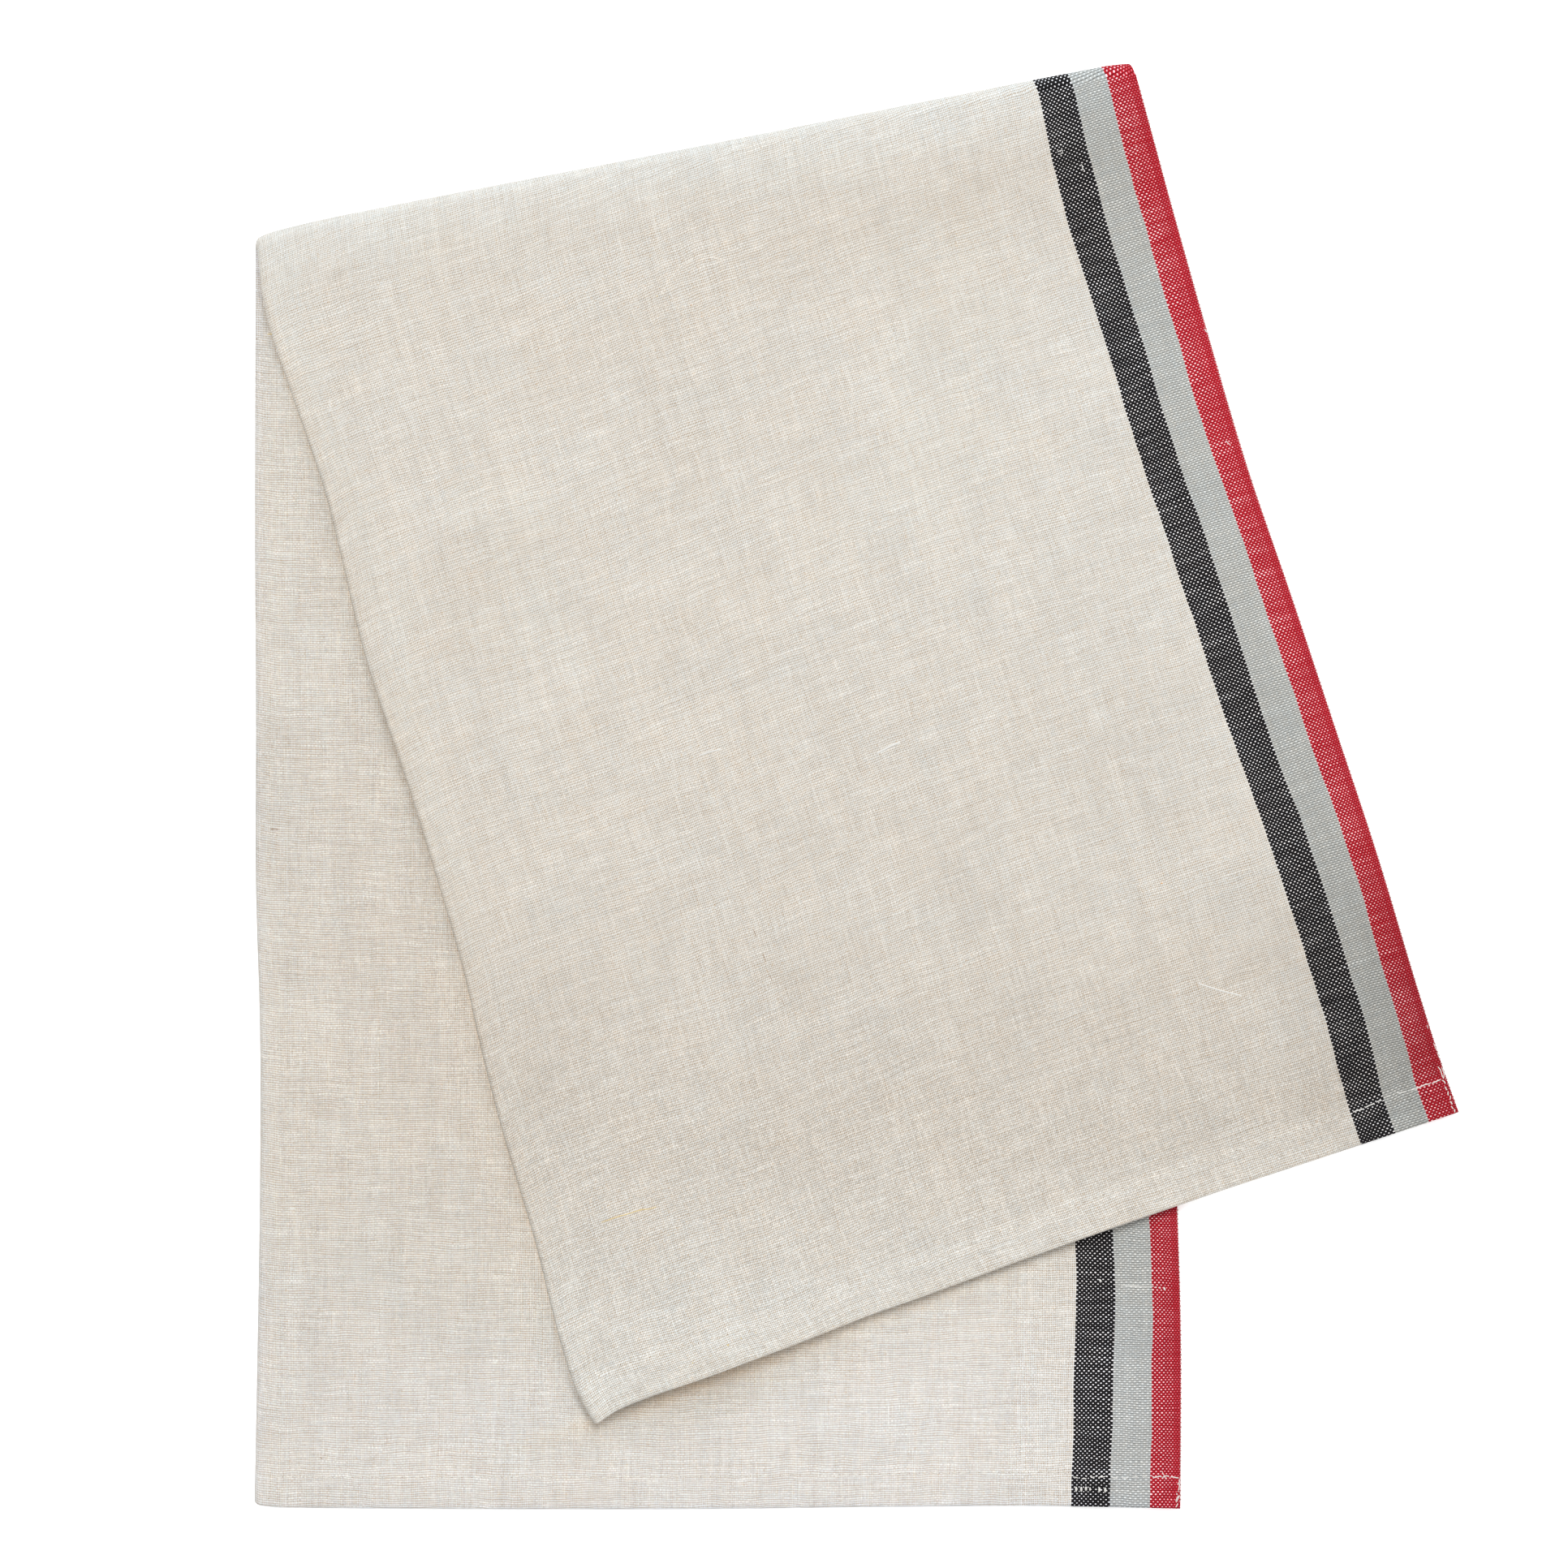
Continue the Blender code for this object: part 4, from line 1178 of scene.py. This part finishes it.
def linen_nodes(tree):
    """Colour and height of the plain weave with its stripes."""
    across, along, warp_at, weft_at = thread_places(tree)
    half = HALF_WIDTH / MM
    side = warp_at.above(half)
    from_selvedge = half - (warp_at - half).size()
    ends = (from_selvedge - sum(zone.ends * zone.pitch for zone in ZONES)).most(0.0) / WARP_PITCH
    start = 0.0
    for zone in ZONES:
        width = zone.ends * zone.pitch
        ends = ends + (from_selvedge - start).most(0.0).least(width) / zone.pitch
        start += width
    picks = weft_at / WEFT_PITCH
    warp_number = ends.floor()
    weft_number = picks.floor()
    in_linen = warp_number.above(STRIPE_ENDS - 0.5)
    warp_seed = warp_number + side * OTHER_SELVEDGE
    crossing_luck = scattered(tree, warp_seed * CROSSING_ROW + weft_number)
    loose = painted(tree, "loose")
    warp_off = ends.fract() - 0.5
    weft_off = picks.fract() - 0.5
    warp = spun(tree, WARP, warp_seed, along, warp_off, loose)
    weft = spun(tree, WEFT, weft_number, across, weft_off, loose)

    # Plain weave: each thread goes over and under in turn
    warp_wave = ((picks - 0.5 + warp_number) * math.pi).cos()
    weft_wave = ((ends - 0.5 + weft_number) * math.pi).cos()
    warp_top = warp.top + warp_wave * WAVE_HEIGHT
    weft_top = weft.top - weft_wave * WAVE_HEIGHT
    linen_top = warp_top.most(weft_top)
    linen_weft = (weft_top - warp_top).ramp(-CROSSING_SOFT, CROSSING_SOFT)

    # In the stripes the warp covers most of the weft, which shows as a dot at every second crossing
    dot_size = 1.0 + weft.noise[0] * DOT_VARIES[0] + weft.luck * DOT_VARIES[1] + weft.slub * DOT_VARIES[2]
    dot_off = warp_off
    for number, inner_side in STRIPE_EDGES:
        held = warp_off.least(0.0) if inner_side else warp_off.most(0.0)
        dot_off = (warp_number - number).size().above(0.5).between(held, dot_off)
    dot_across = dot_off / (by_zone(warp_number, Number.between, "dot_width", 1.0) * dot_size)
    dot_along = weft_off / (by_zone(warp_number, Number.between, "dot_length", 1.0) * dot_size)
    slant = dot_along + dot_off * (warp.noise[1] + DOT_SLANT[0]) * DOT_SLANT[1]
    dot = 1.0 - dot_across * dot_across - slant * slant
    odd = ((warp_number + weft_number) * 0.5).fract().above(0.25)
    stripe_weft = dot.ramp(*DOT_EDGE) * odd * (DOT_COVERS[0] + warp.noise[0] * DOT_COVERS[1]).least(1.0)
    row_gap = weft_off.size().ramp(*ROW_GAP)
    dives = ((warp_number + (picks + 0.5).floor()) * 0.5).fract().above(0.25)
    stripe_shade = STRIPE_SHADE[0] - row_gap * (STRIPE_SHADE[1] + dives * STRIPE_SHADE[2])
    stripe_warp = (1.0 - row_gap) * STRIPE_RELIEF[0] + warp_wave * STRIPE_RELIEF[1]
    stripe_top = stripe_weft.between(stripe_warp, dot * DOT_RELIEF[0] + DOT_RELIEF[1])
    top = in_linen.between(stripe_top, linen_top)
    weft_shows = in_linen.between(stripe_weft, linen_weft)

    # Colours of the yarns
    blend = partial(mixed, tree)
    warp_colour = scaled(tree, by_zone(warp_number, blend, "colour", WARP_COLOUR), warp.tone)
    weft_colour = scaled(tree, by_zone(warp_number, blend, "dot_colour", WEFT_COLOUR), weft.tone)
    thread = mixed(tree, weft_shows, warp_colour, weft_colour)
    # Painted shade down the threads' sides and in the weave's dips
    linen_shade = LINEN_SHADE[0] + linen_top * LINEN_SHADE[1]
    thread = scaled(tree, thread, in_linen.between(stripe_shade, linen_shade))

    # And of the cloth: painted shade in the gaps between its threads, flecks, cloudiness as it has faded
    # and been handled, painted light and shade from the mesh's tone and warmth, and painted warm light in
    # narrow gaps
    clouds = {row: cloudy(tree, across / row.across + row.start_across, along / row.along + row.start_along,
                          row.detail) for row in CLOUDS}
    cut_edge = along.least(CLOTH_LENGTH / MM - along).ramp(*CUT_EDGE)
    deep = (linen_top - clouds[OPENING][0] * OPENS).ramp(*DEEP).most(cut_edge)
    deep = in_linen.between(1.0, deep)
    fleck = clouds[GRAIN][2].ramp(*FLECK_FROM) * in_linen
    colour = mixed(tree, fleck * FLECK_SHARE, mixed(tree, deep, GAP_SHADE_COLOUR, thread), FLECK_COLOUR)
    tone = painted(tree, "tone") + loose * LOOSE_TONE + PLAIN_TONE
    tone = tone + crossing_luck * (loose * CROSSING_TONE[0] + CROSSING_TONE[1])
    warmth = painted(tree, "warmth") + loose * LOOSE_WARMTH
    for row, cloud in clouds.items():
        tone = tone + cloud[0] * row.tone
        warmth = warmth + cloud[1] * row.warmth
    hidden = hollow(tree)
    warmth = warmth * WARMTH_SHARE + hidden * HOLLOW_WARMTH
    light = 1.0 + hidden * HOLLOW_LIGHT
    pink = painted(tree, "pink") + 1.0
    tint = add_node(tree, "CombineXYZ", ((pink + warmth) * light, light, (pink - warmth) * light))
    values = (scaled(tree, colour, tone), tint.outputs[0])
    return add_node(tree, "VectorMath", values, operation="MULTIPLY").outputs[0], top * CROSSING_HEIGHT


def new_material(name, **looks):
    """A material with its shader's plain values, its node tree and its shader."""
    material = bpy.data.materials.new(name)
    material.use_nodes = True
    shader = material.node_tree.nodes["Principled BSDF"]
    for look, value in looks.items():
        shader.inputs[look.replace("_", " ")].default_value = value
    return material, material.node_tree, shader


def add_relief(tree, shader, height, strength, distance=1.0):
    bump = add_node(tree, "Bump", {"Strength": strength, "Distance": distance, "Height": height})
    tree.links.new(bump.outputs[0], shader.inputs["Normal"])


def linen_material():
    """Plain-woven linen with warp stripes along its selvedges."""
    material, tree, shader = new_material(
        "striped_linen", Roughness=0.88, Specular_IOR_Level=0.05, Sheen_Weight=0.02, Sheen_Roughness=0.6)
    colour, height = linen_nodes(tree)
    tree.links.new(colour, shader.inputs["Base Color"])
    add_relief(tree, shader, height, 0.8)
    return material


YARN_MOTTLE = 0.35 * MM
YARN_FIBRES = 0.12 * MM
YARN_TONES = (0.88, 0.24)
YARN_RELIEF = 0.04 * MM


def yarn_material(name, colour):
    """Spun yarn, a little uneven in colour, with fine fibres in its relief."""
    material, tree, shader = new_material(name, Roughness=0.85, Specular_IOR_Level=0.15)
    place = add_node(tree, "TexCoord").outputs["Object"]
    patchy, fibres = (add_node(tree, "TexNoise", {"Scale": 1 / size, "Vector": place}).outputs[0]
                      for size in (YARN_MOTTLE, YARN_FIBRES))
    tone = YARN_TONES[0] + Number(tree, patchy) * YARN_TONES[1]
    tree.links.new(scaled(tree, colour, tone), shader.inputs["Base Color"])
    add_relief(tree, shader, fibres, 0.5, YARN_RELIEF)
    return material


# The studio

FLOOR_SIZE = 6.0
FLOOR_DROP = 0.2 * MM         # the stitches under the lower hem reach this far down
FLOOR_COLOUR = (0.95, 0.95, 0.95, 1.0)
FLOOR_GLOW = 0.4              # of its own light, as on a light table
KEY_PLACE = Vector((0.5, 2.3, 3.75))
KEY_SIZE = 2.8
KEY_POWER = 165.0
SKY_COLOUR = (1.0, 1.0, 1.0, 1.0)
SKY_STRENGTH = 0.90


def make_camera():
    data = bpy.data.cameras.new("camera")
    data.sensor_width = SENSOR_WIDTH
    data.lens = SENSOR_WIDTH * VIEW_HEIGHT / VIEW_WIDTH
    camera = add_object("camera", data)
    camera.location = (*VIEW_MIDDLE, VIEW_HEIGHT)
    bpy.context.scene.camera = camera


def make_floor():
    mesh = bpy.data.meshes.new("floor")
    half = FLOOR_SIZE / 2
    corners = [(-half, -half), (half, -half), (half, half), (-half, half)]
    mesh.from_pydata([(x, y, -FLOOR_DROP) for x, y in corners], [], [(0, 1, 2, 3)])
    material, *_ = new_material("floor", Base_Color=FLOOR_COLOUR, Roughness=0.9, Specular_IOR_Level=0.0,
                                Emission_Color=FLOOR_COLOUR, Emission_Strength=FLOOR_GLOW)
    mesh.materials.append(material)
    add_object("floor", mesh)


def make_lights():
    data = bpy.data.lights.new("key", "AREA")
    data.size = KEY_SIZE
    data.energy = KEY_POWER
    key = add_object("key", data)
    key.location = KEY_PLACE
    key.rotation_euler = (-KEY_PLACE).to_track_quat("-Z", "Y").to_euler()
    world = bpy.data.worlds.new("studio")
    world.use_nodes = True
    sky = world.node_tree.nodes["Background"].inputs
    sky["Color"].default_value = SKY_COLOUR
    sky["Strength"].default_value = SKY_STRENGTH
    bpy.context.scene.world = world
    bpy.context.scene.view_settings.view_transform = "Standard"


make_camera()
make_floor()
make_lights()
towel = make_towel()
towel.data.materials.append(linen_material())
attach(towel, "root")
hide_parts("towel")
threads = make_threads(towel)
